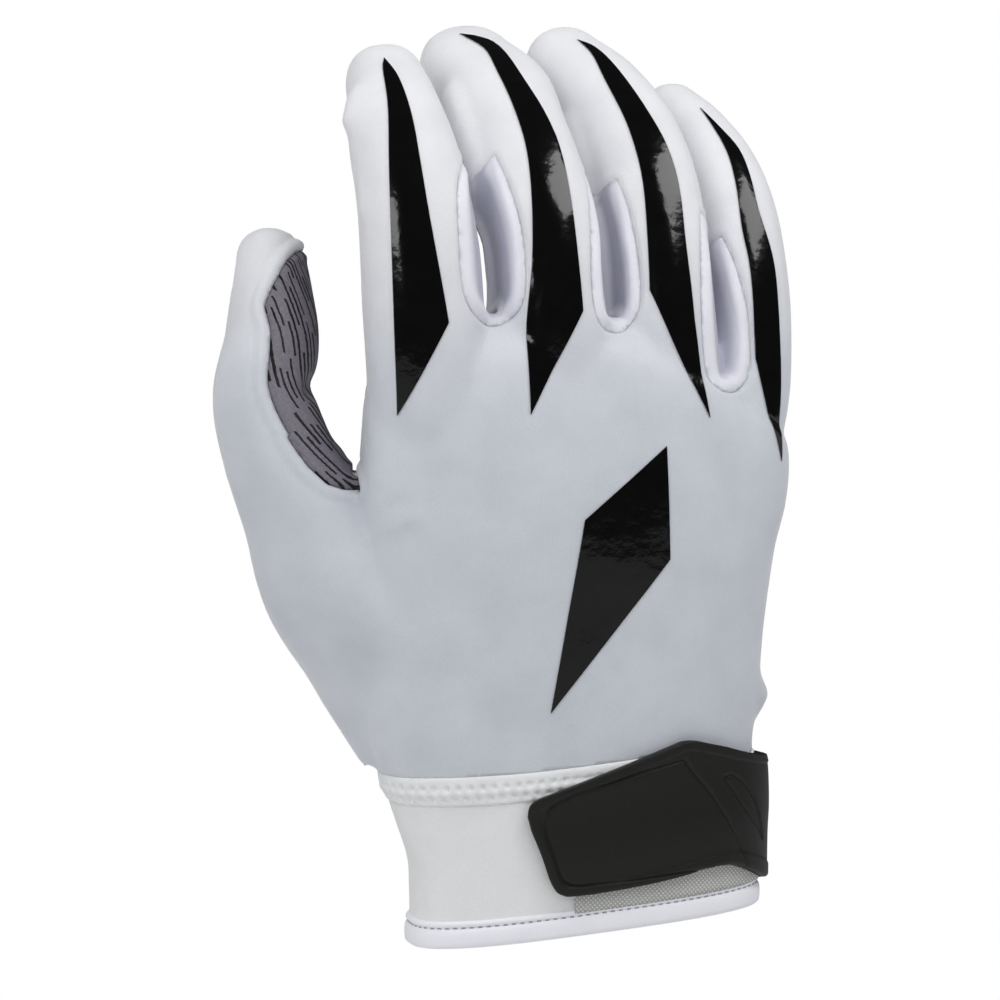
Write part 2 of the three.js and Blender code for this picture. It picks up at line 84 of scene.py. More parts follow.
# the form of the hand: height, x, wide, y, deep, slope, bow
palmRows = [
    (-6, 0.2, 40.2, 0, 17, 0.088, 0),
    (5, 0.3, 40.1, 0, 17, 0.088, 0),
    (12, 0.3, 40.2, 0, 17, 0.121, 0.0012),
    (19, 0.2, 40.6, 0, 17, 0.12, 0.001),
    (28, -1.4, 42, 0, 16.5, 0.11, 0.001),
    (34, -3.1, 42.7, 0, 16.5, 0.1, 0.001),
    (50, -4.5, 45.9, 0.5, 17, 0.06, 0),
    (68, -3.7, 46.5, 0.5, 17, 0.02, 0),
    (86, -3, 48.1, 0.5, 17, -0.04, 0),
    (102, -1.8, 49.5, 0.5, 16, -0.08, -0.002),
    (118, -0.7, 49.7, 1, 14.5, -0.11, -0.004),
    (130, -0.3, 49, 2, 12.5, -0.14, -0.006),
    (136, -0.2, 46.5, 3, 8.5, -0.153, -0.008),
    (138.5, -0.2, 43, 3.5, 3.5, -0.153, -0.0083),
]
# centre x, y, z, half width, half depth, turn about +Z
fingers = {
    "index": [
        (-34.5, -1, 103.5, 12, 10, -6), (-36.2, -1, 119.5, 13, 11, -6),
        (-36.7, 0, 137, 13.5, 11.5, -6), (-37.2, 2, 152.5, 13.2, 11.3, -6),
        (-38.2, 5, 165, 12.6, 11.2, -6), (-39.4, 10, 176, 11.9, 10.6, -6),
        (-39.9, 17, 184.6, 10.3, 9.8, -6), (-39.9, 23, 189, 9.2, 9, -6),
    ],
    "middle": [
        (-5, -1, 103, 12, 10, 0), (-6, -1, 119, 13, 11, 0),
        (-6.8, 0, 137, 11.8, 11.8, 0), (-7.6, 3, 152.5, 11.6, 11.8, 0),
        (-8.8, 8, 164.5, 11.8, 11.8, 0), (-10.8, 16, 176.5, 11.8, 11.2, 0),
        (-12.4, 27, 186.5, 12.6, 10.4, 0), (-16, 38, 193, 11.4, 9.4, 0),
    ],
    "ring": [
        (21.5, 1, 102.5, 12, 10, 5), (21.2, 2, 118, 12, 11, 5),
        (20.6, 4, 136.5, 11.2, 11.6, 5), (20.4, 8, 152, 11, 11.4, 5),
        (19.7, 13, 164.5, 11.2, 11.2, 5), (17.8, 21, 176.5, 11, 10.8, 5),
        (13.3, 32, 187, 10.6, 10, 5), (8.4, 42, 193.8, 9.4, 9, 5),
    ],
    "pinky": [
        (36, 3, 100, 9, 8, 11), (40.5, 6.5, 116, 9.8, 9.6, 11),
        (42.4, 10.5, 131, 9.8, 10.4, 11), (42.8, 14, 145, 9.6, 10.4, 11),
        (42.3, 20, 158.5, 9.6, 10.2, 11), (40.3, 27, 169, 9.4, 9.8, 11),
        (37.1, 35, 177, 8.2, 9.2, 11), (34.2, 42, 182.2, 7.2, 8.0, 11),
    ],
    "thumb": [
        (-33.5, 5, 44.5, 18.3, 12, -22), (-43.3, 7, 62.1, 19.4, 14, -32),
        (-55.4, 9, 76.7, 17.2, 13.4, -45), (-61.6, 11, 92.3, 14.8, 12.3, -52),
        (-67.3, 13, 106.5, 12.4, 11.7, -56), (-70, 16, 120, 11.1, 10.7, -60),
        (-67.0, 20, 132, 9.9, 10.4, -60), (-66.0, 25, 143, 8.3, 9.4, -60),
        (-65.5, 28.5, 149.2, 7.4, 8.4, -60),
    ],
}


def rowAt(rows, at):
    # Catmull-Rom between the rows of a table
    last = len(rows) - 1
    i = min(max(int(math.floor(at)), 0), last - 1)
    f = at - i
    b, c = np.array(rows[i], float), np.array(rows[i + 1], float)
    a = np.array(rows[i - 1], float) if i > 0 else 2 * b - c
    d = np.array(rows[i + 2], float) if i + 2 <= last else 2 * c - b
    return 0.5 * (2 * b + (c - a) * f + (2 * a - 5 * b + 4 * c - d) * f ** 2
                  + (3 * b - a - 3 * c + d) * f ** 3)


def powered(value, squareness):
    return math.copysign(abs(value) ** (2 / squareness), value)


def palmRowAt(height):
    i = 0
    while i < len(palmRows) - 2 and height > palmRows[i + 1][0]:
        i += 1
    f = (height - palmRows[i][0]) / (palmRows[i + 1][0] - palmRows[i][0])
    return rowAt(palmRows, i + f)


def palmPoint(height, angle, grow):
    # a point of the palm's skin: angle 0 is the little finger's side, -90 degrees the back
    row = palmRowAt(height)
    x = row[1] + (row[2] + grow) * powered(math.cos(angle), general["palmSquareness"])
    y = row[3] + (row[4] + grow) * powered(math.sin(angle), general["palmSquareness"])
    return Vector((x, y, height + row[5] * x + row[6] * x * x))


def fingerFrame(rows, at):
    last = len(rows) - 1
    inside = min(at, last)
    row = rowAt(rows, inside)
    before, after = rowAt(rows, max(inside - 0.05, 0)), rowAt(rows, min(inside + 0.05, last))
    along = Vector(after[:3] - before[:3]).normalized()
    turn = math.radians(row[5])
    side = Vector((math.cos(turn), math.sin(turn), 0))
    side = (side - along * side.dot(along)).normalized()
    palmar = along.cross(side)
    centre = Vector(row[:3]) + along * ((at - inside) * rows[last][3])
    return centre, along, side, palmar, row[3], row[4]


def addRing(bm, points):
    ring = bmesh.ops.create_circle(bm, cap_ends=False, segments=len(points), radius=1)["verts"]
    for vert, point in zip(ring, points):
        vert.co = point
    return ring


def ringEdges(ring):
    inside = set(ring)
    return [edge for edge in {e for v in ring for e in v.link_edges}
            if edge.verts[0] in inside and edge.verts[1] in inside]


def bridgeRings(bm, rings, closed=False):
    # closed joins the last ring to the first, otherwise both ends are capped
    edges = [ringEdges(ring) for ring in rings]
    following = edges[1:] + (edges[:1] if closed else [])
    for low, high in zip(edges, following):
        bmesh.ops.bridge_loops(bm, edges=low + high)
    if not closed:
        for end in (edges[0], edges[-1]):
            bmesh.ops.contextual_create(bm, geom=end)
    bmesh.ops.recalc_face_normals(bm, faces=bm.faces)


# fullness of the cloth deep on the sides of the middle and ring finger, a row for each section
gapWalls = [
    [(-14.7, 9, 128, 5, 7, 0), (-14, 10, 140, 5, 6, 0), (-14.2, 11.5, 148, 5, 6, 0),
     (-15.2, 12, 156, 5, 6.5, 0), (-18.4, 13, 164, 5, 7, 0), (-20.3, 15, 173, 4.8, 6.5, 0),
     (-21.6, 19, 180, 4.4, 5.5, 0), (-22.5, 24, 186, 4, 4.5, 0)],
    [(10, 11, 126, 5, 6, 0), (10.8, 13.5, 140, 4.6, 5, 0), (10.5, 16, 154, 4.4, 4.6, 0),
     (9, 20.5, 166, 4, 4.5, 0), (7.4, 23, 173, 4.2, 4.5, 0), (6, 26.5, 180, 3.6, 4.5, 0)],
]
tube = {"sides": 64, "step": 0.12, "capSteps": 10, "tipFlat": 0.06, "tipPower": 0.55,
        "palmSides": 120}


def fingerTube(bm, rows):
    last = len(rows) - 1
    count = round(last / tube["step"])
    angles = [2 * math.pi * k / tube["sides"] for k in range(tube["sides"])]
    squareness = general["fingerSquareness"]
    rings = []

    def ring(centre, side, palmar, wide, deep):
        rings.append(addRing(bm, [centre + side * (wide * powered(math.cos(angle), squareness))
                                  + palmar * (deep * powered(math.sin(angle), squareness))
                                  for angle in angles]))

    for k in range(count + 1):
        centre, along, side, palmar, wide, deep = fingerFrame(rows, last * k / count)
        ring(centre, side, palmar, wide, deep)
    for k in range(1, tube["capSteps"] + 1):
        rise = k / tube["capSteps"] * math.pi / 2
        shrink = max(math.cos(rise) ** tube["tipPower"], tube["tipFlat"])
        ring(centre + along * (wide * math.sin(rise)), side, palmar, wide * shrink, deep * shrink)
    bridgeRings(bm, rings)


def palmTube(bm):
    heights = [30 + 3 * k for k in range(33)] + [129, 131, 133, 134.5, 136, 137.2, 138.5]
    sides = tube["palmSides"]
    rings = [addRing(bm, [palmPoint(h, 2 * math.pi * k / sides, 0) for k in range(sides)])
             for h in heights]
    bridgeRings(bm, rings)


def meshObject(name, bm):
    mesh = bpy.data.meshes.new(name)
    bm.to_mesh(mesh)
    bm.free()
    made = bpy.data.objects.new(name, mesh)
    bpy.context.scene.collection.objects.link(made)
    return made


def applyModifiers(made):
    depsgraph = bpy.context.evaluated_depsgraph_get()
    mesh = bpy.data.meshes.new_from_object(made.evaluated_get(depsgraph))
    made.modifiers.clear()
    old = made.data
    made.data = mesh
    bpy.data.meshes.remove(old)


def removeObject(made):
    mesh = made.data
    bpy.data.objects.remove(made)
    bpy.data.meshes.remove(mesh)


def fusedForm():
    bm = bmesh.new()
    palmTube(bm)
    for rows in [*fingers.values(), *gapWalls]:
        fingerTube(bm, rows)
    form = meshObject("form", bm)
    remesh = form.modifiers.new("fuse", "REMESH")
    remesh.mode = "VOXEL"
    remesh.voxel_size = general["remesh"]
    applyModifiers(form)
    bm = bmesh.new()
    bm.from_mesh(form.data)
    removeObject(form)
    for _ in range(general["smoothRounds"]):
        bmesh.ops.smooth_vert(bm, verts=bm.verts, factor=0.5, use_axis_x=True, use_axis_y=True,
                              use_axis_z=True)
    return bm


skin = fusedForm()
print("hand form:", len(skin.verts), "points")

# where the panels meet, as fields that are negative inside their panel
backSeam = {
    # height, then the depth (y) of the seam at each x in "across"
    "across": (-78, -48, 55),
    "rows": [(-20, 13, 13, 4), (38, 14, 13, 4), (46, 16, 14, 4), (60, 18, 14, 4),
             (80, 22, 10, 4.5), (100, 26, 5, 6), (118, 32, 3, 12), (124, 32, 3, 14),
             (128, 32, -2, 6), (143, 32, -2, 8)],
    "top": 143,
    # on a finger the seam lies this share of the half depth towards the palm, and more later on
    "fingerShare": 0.3,
    "fingerGain": 0.35,
    "gainFrom": 3,
    "gainOver": 2,
    "fingerFrom": 1.2,
    # all of the thumb beyond these is back cloth, apart from its grip
    "thumbX": -52.5,
    "thumbZ": 100,
}
thumbGrip = {
    # place along the thumb, then the edge on its inner and outer side as shares of the half depth
    "rows": [(3.3, 0.9, -0.2), (3.45, 0.6, -0.3), (3.62, -0.1, -0.35), (4, -0.42, -0.38),
             (5, -0.72, -0.38), (5.5, -0.8, -0.38), (6, -0.92, -0.38), (6.35, -1.04, -0.38),
             (6.7, -0.82, -0.36), (7, -0.6, -0.35), (7.5, -0.3, -0.25), (8, 0.05, 0),
             (8.35, 0.55, 0.5), (8.6, 1.2, 1.2)],
    # the seam's height under the web between thumb and hand, at each x
    "web": [(-70, 116), (-66.8, 109.8), (-63.4, 104.9), (-59.1, 101), (-55, 99.7), (-51, 99.4)],
    "webEnd": -51.7,
    "webTop": 112,
    "from": 3.4,
    "slack": 1.2,
    "reach": 1.12,
    "halfWidth": 12,
}
gussets = {
    # the seam round each finger gap as seen from the back (x, z), then the palm's edge as
    # height, depth at the left finger and depth at the right finger, then how high the side
    # cloth reaches at depth 0 and how fast it falls with depth
    "index_middle": {"outline": [
        (-29.6, 168), (-30.5, 163), (-30.7, 157), (-30.7, 151), (-30.2, 144), (-27.6, 138.9),
        (-22.6, 136.0), (-18.0, 137.7), (-15.8, 143), (-15.5, 152), (-16.0, 159), (-17.0, 165),
        (-18.3, 170.5), (-20.4, 175.5), (-24, 174.5), (-27.6, 171.5)],
        "front": [(128, 9.5, 10.5), (140, 9.5, 12), (152, 10, 13), (164, 12, 16), (176, 17.5, 23)],
        "top": (180, 1.3)},
    "middle_ring": {"outline": [
        (2.0, 172), (1.4, 166), (0.8, 159), (0.1, 152), (-0.3, 146), (0.0, 140), (1.9, 135.8),
        (5.9, 134.2), (9.9, 135.4), (12.1, 140), (12.5, 149), (12.1, 156), (11.3, 163), (9.4, 170),
        (6.5, 173), (3.8, 174)],
        "front": [(128, 8.5, 11), (140, 9, 12.5), (152, 11, 15.5), (164, 15.5, 20.5),
                  (176, 23, 28.5)],
        "top": (172, 0.5)},
    "ring_pinky": {"outline": [
        (29.4, 165), (28.3, 159), (27.0, 149), (26.2, 136), (27.0, 125.5), (29.0, 122),
        (32.6, 120.4), (37.2, 121.4), (39.5, 127), (39.8, 136), (38.9, 143), (37.4, 150),
        (35.6, 156), (33.4, 163), (31.2, 168)],
        "front": [(116, 10, 13), (131, 11.5, 17), (145, 13.5, 21), (158, 17.5, 27), (168, 22, 33)],
        "top": (163, 0.8)},
}


def column(rows, number, values):
    table = np.array(rows, float)
    return np.interp(values, table[:, 0], table[:, number])


# how points of the cloth are matched to places along a finger, and to the finger gaps
search = {"step": 0.04, "batch": 4000, "apartShare": 0.25, "reach": 24, "margin": 4,
          "farAway": 50.0}


class FingerPlaces:
    # for points near a finger: place along it and offsets to its side and palm
    def __init__(self, rows):
        last = len(rows) - 1
        self.stops = np.arange(0, last + 1.001, search["step"])
        frames = [fingerFrame(rows, at) for at in self.stops]
        self.centres = np.array([f[0] for f in frames])
        self.sides = np.array([f[2] for f in frames])
        self.palmars = np.array([f[3] for f in frames])
        self.alongs = np.array([f[1] for f in frames])
        self.wides = np.array([f[4] for f in frames])
        self.deeps = np.array([f[5] for f in frames])

    def places(self, points):
        nearest = np.empty(len(points), int)
        for start in range(0, len(points), search["batch"]):
            part = points[start:start + search["batch"]]
            offsets = part[:, None, :] - self.centres[None, :, :]
            along = np.abs(np.einsum("nkc,kc->nk", offsets, self.alongs))
            apart = np.linalg.norm(offsets, axis=2)
            nearest[start:start + len(part)] = np.argmin(along + search["apartShare"] * apart,
                                                         axis=1)
        offsets = points - self.centres[nearest]
        side = np.einsum("nc,nc->n", offsets, self.sides[nearest])
        palmar = np.einsum("nc,nc->n", offsets, self.palmars[nearest])
        return self.stops[nearest], side, palmar, self.wides[nearest], self.deeps[nearest]


fingerPlaces = {name: FingerPlaces(rows) for name, rows in fingers.items()}


def nearFinger(name, points):
    # which points are worth asking about this finger
    centres = fingerPlaces[name].centres
    low, high = centres.min(axis=0) - search["reach"], centres.max(axis=0) + search["reach"]
    return np.all((points > low) & (points < high), axis=1)


wristDip = {"height": 38.1, "from": 9, "rate": 0.0068, "most": 5.4}


def wristField(points):
    # height above the seam band's upper edge
    heights = np.array([row[0] for row in palmRows], float)
    slope = np.array([row[5] for row in palmRows], float)
    bow = np.array([row[6] for row in palmRows], float)
    z, x = points[:, 2], points[:, 0]
    height = z.copy()
    for _ in range(4):
        sloped = np.interp(height, heights, slope) * x
        height = z - sloped - np.interp(height, heights, bow) * x * x
    # towards the little finger the panels reach down under the closure tab
    dip = np.clip(wristDip["rate"] * np.maximum(x - wristDip["from"], 0) ** 2, 0, wristDip["most"])
    return height - wristDip["height"] + dip


def backField(points):
    x, y, z = points.T
    depths = [column(backSeam["rows"], k, z) for k in (1, 2, 3)]
    left, middle, right = backSeam["across"]
    share = np.clip((x - left) / (middle - left), 0, 1)
    seam = depths[0] * (1 - share) + depths[1] * share
    share = np.clip((x - middle) / (right - middle), 0, 1)
    seam = np.where(x > middle, depths[1] * (1 - share) + depths[2] * share, seam)
    field = np.maximum(y - seam, z - backSeam["top"])
    for name in ("index", "middle", "ring", "pinky"):
        near = nearFinger(name, points)
        at, side, palmar, wide, deep = fingerPlaces[name].places(points[near])
        gain = np.clip((at - backSeam["gainFrom"]) / backSeam["gainOver"], 0, 1)
        share = backSeam["fingerShare"] + backSeam["fingerGain"] * gain
        part = np.maximum(palmar - share * deep, np.abs(side) - wide - 5)
        part = np.maximum(part, (backSeam["fingerFrom"] - at) * general["placeLength"])
        field[near] = np.minimum(field[near], part)
    thumbPart = np.maximum(x - backSeam["thumbX"], backSeam["thumbZ"] - z)
    return np.minimum(field, thumbPart)


def thumbGripField(points):
    field = np.full(len(points), search["farAway"])
    near = nearFinger("thumb", points)
    at, side, palmar, wide, deep = fingerPlaces["thumb"].places(points[near])
    share = np.clip((side / (wide + 4) + 1) / 2, 0, 1)
    edge = (column(thumbGrip["rows"], 1, at) * share
            + column(thumbGrip["rows"], 2, at) * (1 - share))
    part = np.maximum(edge * deep - palmar, (thumbGrip["from"] - at) * general["placeLength"])
    slack = thumbGrip["slack"]
    around = np.sqrt((side / (wide + slack)) ** 2 + (palmar / (deep + slack)) ** 2)
    part = np.maximum(part, (around - thumbGrip["reach"]) * thumbGrip["halfWidth"])
    x, y, z = points[near].T
    web = np.maximum(column(thumbGrip["web"], 1, x) - z, x - thumbGrip["webEnd"])
    web = np.maximum(web, z - thumbGrip["webTop"])
    field[near] = np.minimum(part, web)
    return field


def roundedOutline(corners, stepsEach=4):
    # a closed smooth line through the corners
    count = len(corners)
    line = []
    for i in range(count):
        rows = [corners[(i + k) % count] for k in (-1, 0, 1, 2)]
        line += [rowAt(rows, 1 + k / stepsEach) for k in range(stepsEach)]
    return np.array(line)


def distanceToChain(a, h, chain):
    best = np.full(a.shape, 1e9)
    for (ax, ay), (bx, by) in zip(chain, chain[1:]):
        dx, dy = bx - ax, by - ay
        share = np.clip(((a - ax) * dx + (h - ay) * dy) / (dx * dx + dy * dy), 0, 1)
        best = np.minimum(best, np.hypot(a - ax - share * dx, h - ay - share * dy))
    return best


def outlineField(outline, x, z):
    # distance to a closed outline, negative inside
    chain = [*outline, outline[0]]
    inside = np.zeros(len(x), bool)
    for (ax, az), (bx, bz) in zip(chain, chain[1:]):
        rise = bz - az
        at = ax + (z - az) / (rise if abs(rise) > 1e-9 else 1e-9) * (bx - ax)
        inside ^= ((az > z) != (bz > z)) & (x < at)
    apart = distanceToChain(x, z, chain)
    return np.where(inside, -apart, apart)


gussetOutlines = {web: roundedOutline(settings["outline"]) for web, settings in gussets.items()}


def gussetField(web, points):
    x, y, z = points.T
    low, high = gussetOutlines[web].min(axis=0), gussetOutlines[web].max(axis=0)
    margin = search["margin"]
    near = ((x > low[0] - margin) & (x < high[0] + margin)
            & (z > low[1] - margin) & (z < high[1] + margin))
    field = np.full(len(points), search["farAway"])
    across = outlineField(gussetOutlines[web], x[near], z[near])
    share = np.clip((x[near] - low[0]) / (high[0] - low[0]), 0, 1)
    front = (column(gussets[web]["front"], 1, z[near]) * (1 - share)
             + column(gussets[web]["front"], 2, z[near]) * share)
    high, fall = gussets[web]["top"]
    above = (z[near] + fall * y[near] - high) / math.hypot(1, fall)
    field[near] = np.maximum(np.maximum(across, y[near] - front), above)
    return field


def coordinates(bm):
    values = np.empty((len(bm.verts), 3))
    for i, vert in enumerate(bm.verts):
        values[i] = vert.co
    return values


def cutAlong(bm, fieldOf):
    # cut the surface along the field's zero line, so that each face lies on one side of it
    bm.verts.ensure_lookup_table()
    bm.verts.index_update()
    values = fieldOf(coordinates(bm))
    onLine = []
    crossing = [e for e in bm.edges if values[e.verts[0].index] * values[e.verts[1].index] < 0]
    snapped = {}
    for edge in crossing:
        a, b = edge.verts
        share = values[a.index] / (values[a.index] - values[b.index])
        for vert, near in ((a, share), (b, 1 - share)):
            if near < general["snap"] and vert.index not in snapped:
                other = b if vert is a else a
                snapped[vert.index] = vert.co.lerp(other.co, near)
    for index, place in snapped.items():
        vert = bm.verts[index]
        vert.co = place
        values[index] = 0
        onLine.append(vert)
    for edge in crossing:
        a, b = edge.verts
        va, vb = values[a.index], values[b.index]
        if va * vb < 0:
            _, vert = bmesh.utils.edge_split(edge, a, va / (va - vb))
            onLine.append(vert)
    bmesh.ops.connect_verts(bm, verts=onLine)
    bm.verts.index_update()


cutAlong(skin, wristField)
for webName in gussetOutlines:
    cutAlong(skin, lambda points, webName=webName: gussetField(webName, points))
cutAlong(skin, thumbGripField)
cutAlong(skin, backField)
print("panel lines cut:", len(skin.verts), "points")

# each face notes its panel's place in this list; what is below the wrist is left out
panelNames = ["palm_panel", "back_panel", "thumb_grip", "gusset_index_middle",
              "gusset_middle_ring", "gusset_ring_pinky", "below"]
panelNumber = {name: number for number, name in enumerate(panelNames)}
gussetNumbers = [panelNumber["gusset_" + web] for web in gussets]


def labelFaces(bm):
    bm.faces.ensure_lookup_table()
    centres = np.array([face.calc_center_median() for face in bm.faces])
    label = np.where(backField(centres) < 0, panelNumber["back_panel"], panelNumber["palm_panel"])
    label[thumbGripField(centres) < 0] = panelNumber["thumb_grip"]
    for web in gussets:
        label[gussetField(web, centres) < 0] = panelNumber["gusset_" + web]
    label[wristField(centres) < 0] = panelNumber["below"]
    for face, number in zip(bm.faces, label):
        face.material_index = int(number)


labelFaces(skin)

# relief of the cloth: rolled rims and grooves at the seams, folds and soft waves
relief = {
    "groove": 0.55,
    "grooveWidth": 0.5,
    "puff": 0.25,
    "puffAt": 1.5,
    "puffWidth": 1.0,
    "rim": 0.75,
    "rimAt": 2.1,
    "rimWidth": 1.5,
    "fade": 16,
    "least": 0.12,
    "rimLeast": 0.25,
    "wallShadeFrom": 3.2,
    "wallShadeBlend": 2.2,
    "wave": 0.18,
    "waveSize": 16,
}
folds = [
    # a line of points, how wide and how deep the fold is; negative depth is a ridge
    ([(-57.5, -5, 96), (-52, -8, 94), (-46, -11, 97)], 1.3, 0.55),
    ([(-52, -7, 92.0), (-47, -10, 91.5), (-42, -12, 94)], 1.8, -0.4),
    ([(-51.5, 12, 187), (-52, 11, 182)], 3.3, -2.6),
    ([(-52, 2, 166), (-52, 2, 162)], 2.6, -0.9),
    ([(-52, 3, 175), (-51, -3, 173)], 2.5, 0.5),
    ([(42, -2, 50.5), (42, 3, 45.5)], 3.8, -2.9),
    ([(-60.5, 16, 122.5), (-60.5, 8, 121.5)], 2.4, 1.5),
    ([(-52.5, 12, 107), (-50.5, 10, 102)], 3.4, -1.5),
    ([(-63, 6, 110.5), (-58, 12, 109.4), (-54, 15, 108)], 1.5, 0.8),
]
# beside the thumb's grip the back cloth is rolled, with a crease behind the roll
thumbRoll = {"high": 0.4, "at": 1.8, "wide": 1.2, "crease": 0.3, "creaseAt": 3.6,
             "creaseWide": 0.5}


def seamVerts(bm):
    # the points where two panels meet
    found = []
    for vert in bm.verts:
        kinds = {face.material_index for face in vert.link_faces}
        if len(kinds) > 1 and panelNumber["below"] not in kinds:
            found.append(vert)
    return found


def treeOf(verts):
    tree = kdtree.KDTree(len(verts))
    for i, vert in enumerate(verts):
        tree.insert(vert.co, i)
    tree.balance()
    return tree


def hump(apart, at, width):
    return np.exp(-((apart - at) / width) ** 2)


def distanceToLine(points, line):
    best = np.full(len(points), 1e9)
    for a, b in zip(line, line[1:]):
        a, b = np.array(a, float), np.array(b, float)
        step = b - a
        share = np.clip((points - a) @ step / (step @ step), 0, 1)
        best = np.minimum(best, np.linalg.norm(points - a - share[:, None] * step, axis=1))
    return best


def addRelief(bm):
    inner = bm.verts.layers.float.new("inner")
    points = coordinates(bm)
    seams = seamVerts(bm)
    tree = treeOf(seams)
    found = [tree.find(vert.co) for vert in bm.verts]
    apart = np.array([place[2] for place in found])
    # the seams round the finger gaps fade out towards the gap's top
    strength = np.ones(len(seams))
    for i, vert in enumerate(seams):
        kind = max(face.material_index for face in vert.link_faces)
        if kind in gussetNumbers:
            high, fall = gussets[panelNames[kind].removeprefix("gusset_")]["top"]
            share = (high - fall * vert.co.y - vert.co.z) / relief["fade"]
            strength[i] = min(max(share, relief["least"]), 1)
    faded = strength[[place[1] for place in found]]
    kinds = np.array([max(face.material_index for face in vert.link_faces) for vert in bm.verts])
    betweenFingers = np.isin(kinds, gussetNumbers)
    lift = -relief["groove"] * faded * hump(apart, 0, relief["grooveWidth"])
    lift += relief["puff"] * hump(apart, relief["puffAt"], relief["puffWidth"])
    lift += np.where(betweenFingers, relief["rim"] * faded
                     * hump(apart, relief["rimAt"], relief["rimWidth"]), 0)
    # how far a point is behind the rolled rims of the finger gaps, from 0 to 1; it darkens the
    # side cloth there as painted shade
    rims = treeOf([vert for vert, share in zip(seams, strength) if share > relief["rimLeast"]])
    fromRim = np.array([rims.find(vert.co)[2] for vert in bm.verts])
    behind = np.clip((fromRim - relief["wallShadeFrom"]) / relief["wallShadeBlend"], 0, 1)
    for vert, value in zip(bm.verts, behind):
        vert[inner] = float(value)
    back, grip = panelNumber["back_panel"], panelNumber["thumb_grip"]
    beside = treeOf([v for v in seams if {f.material_index for f in v.link_faces} == {back, grip}])
    apart = np.array([beside.find(vert.co)[2] if kind == back else search["farAway"]
                      for vert, kind in zip(bm.verts, kinds)])
    lift += thumbRoll["high"] * hump(apart, thumbRoll["at"], thumbRoll["wide"])
    lift -= thumbRoll["crease"] * hump(apart, thumbRoll["creaseAt"], thumbRoll["creaseWide"])
    for line, width, depth in folds:
        lift -= depth * hump(distanceToLine(points, line), 0, width)
    bm.normal_update()
    for vert, amount in zip(bm.verts, lift):
        soft = noise.noise(vert.co / relief["waveSize"]) * relief["wave"]
        vert.co += vert.normal * (float(amount) + soft)


addRelief(skin)
print("cloth relief added")


def newMaterial(name, settings):
    material = bpy.data.materials.new(name)
    material.use_nodes = True
    tree = material.node_tree
    shader = tree.nodes["Principled BSDF"]
    for key, value in settings.items():
        shader.inputs[key].default_value = value
    return material, tree, shader


def addNode(tree, kind, settings=None, **values):
    node = tree.nodes.new(kind)
    for key, value in (settings or {}).items():
        setattr(node, key, value)
    for key, value in values.items():
        node.inputs[key].default_value = value
    return node


def objectPlace(tree, turn=0.0):
    # the place on the object in millimetres, turned about the depth axis
    place = addNode(tree, "ShaderNodeTexCoord")
    sizing = addNode(tree, "ShaderNodeMapping", Scale=(1000, 1000, 1000),
                     Rotation=(0, math.radians(turn), 0))
    tree.links.new(place.outputs["Object"], sizing.inputs["Vector"])
    return sizing.outputs["Vector"]


def noiseAt(tree, place, **values):
    texture = addNode(tree, "ShaderNodeTexNoise", **values)
    tree.links.new(place, texture.inputs["Vector"])
    return texture.outputs["Fac"]


def partsOf(tree, vector):
    parts = addNode(tree, "ShaderNodeSeparateXYZ")
    tree.links.new(vector, parts.inputs["Vector"])
    return parts.outputs


def rangeOf(tree, value, low, high, kind="LINEAR"):
    node = addNode(tree, "ShaderNodeMapRange", {"interpolation_type": kind})
    node.inputs["From Min"].default_value = low
    node.inputs["From Max"].default_value = high
    tree.links.new(value, node.inputs["Value"])
    return node.outputs["Result"]


def calculate(tree, operation, *values):
    node = addNode(tree, "ShaderNodeMath", {"operation": operation})
    for socket, value in zip(node.inputs, values):
        if isinstance(value, (int, float)):
            socket.default_value = value
        else:
            tree.links.new(value, socket)
    return node.outputs["Value"]


def mixColours(tree, factor, first, second):
    # a colour is three numbers, or what another node gives
    mix = addNode(tree, "ShaderNodeMix", {"data_type": "RGBA"})
    tree.links.new(factor, mix.inputs["Factor"])
    for name, colour in (("A", first), ("B", second)):
        if isinstance(colour, tuple):
            mix.inputs[name].default_value = (*colour, 1)
        else:
            tree.links.new(colour, mix.inputs[name])
    return mix.outputs["Result"]


def addBump(tree, shader, height, strength, distance):
    bump = addNode(tree, "ShaderNodeBump", Strength=strength, Distance=distance)
    tree.links.new(height, bump.inputs["Height"])
    tree.links.new(bump.outputs["Normal"], shader.inputs["Normal"])


# what all the cloths share: size of the soft patches, and where light and dark begin
cloth = {"patchScale": 0.09, "grainShare": 0.5, "darkAt": 0.45, "lightAt": 1.05,
         "sheenRoughness": 0.4, "bumpDepth": 0.0003}


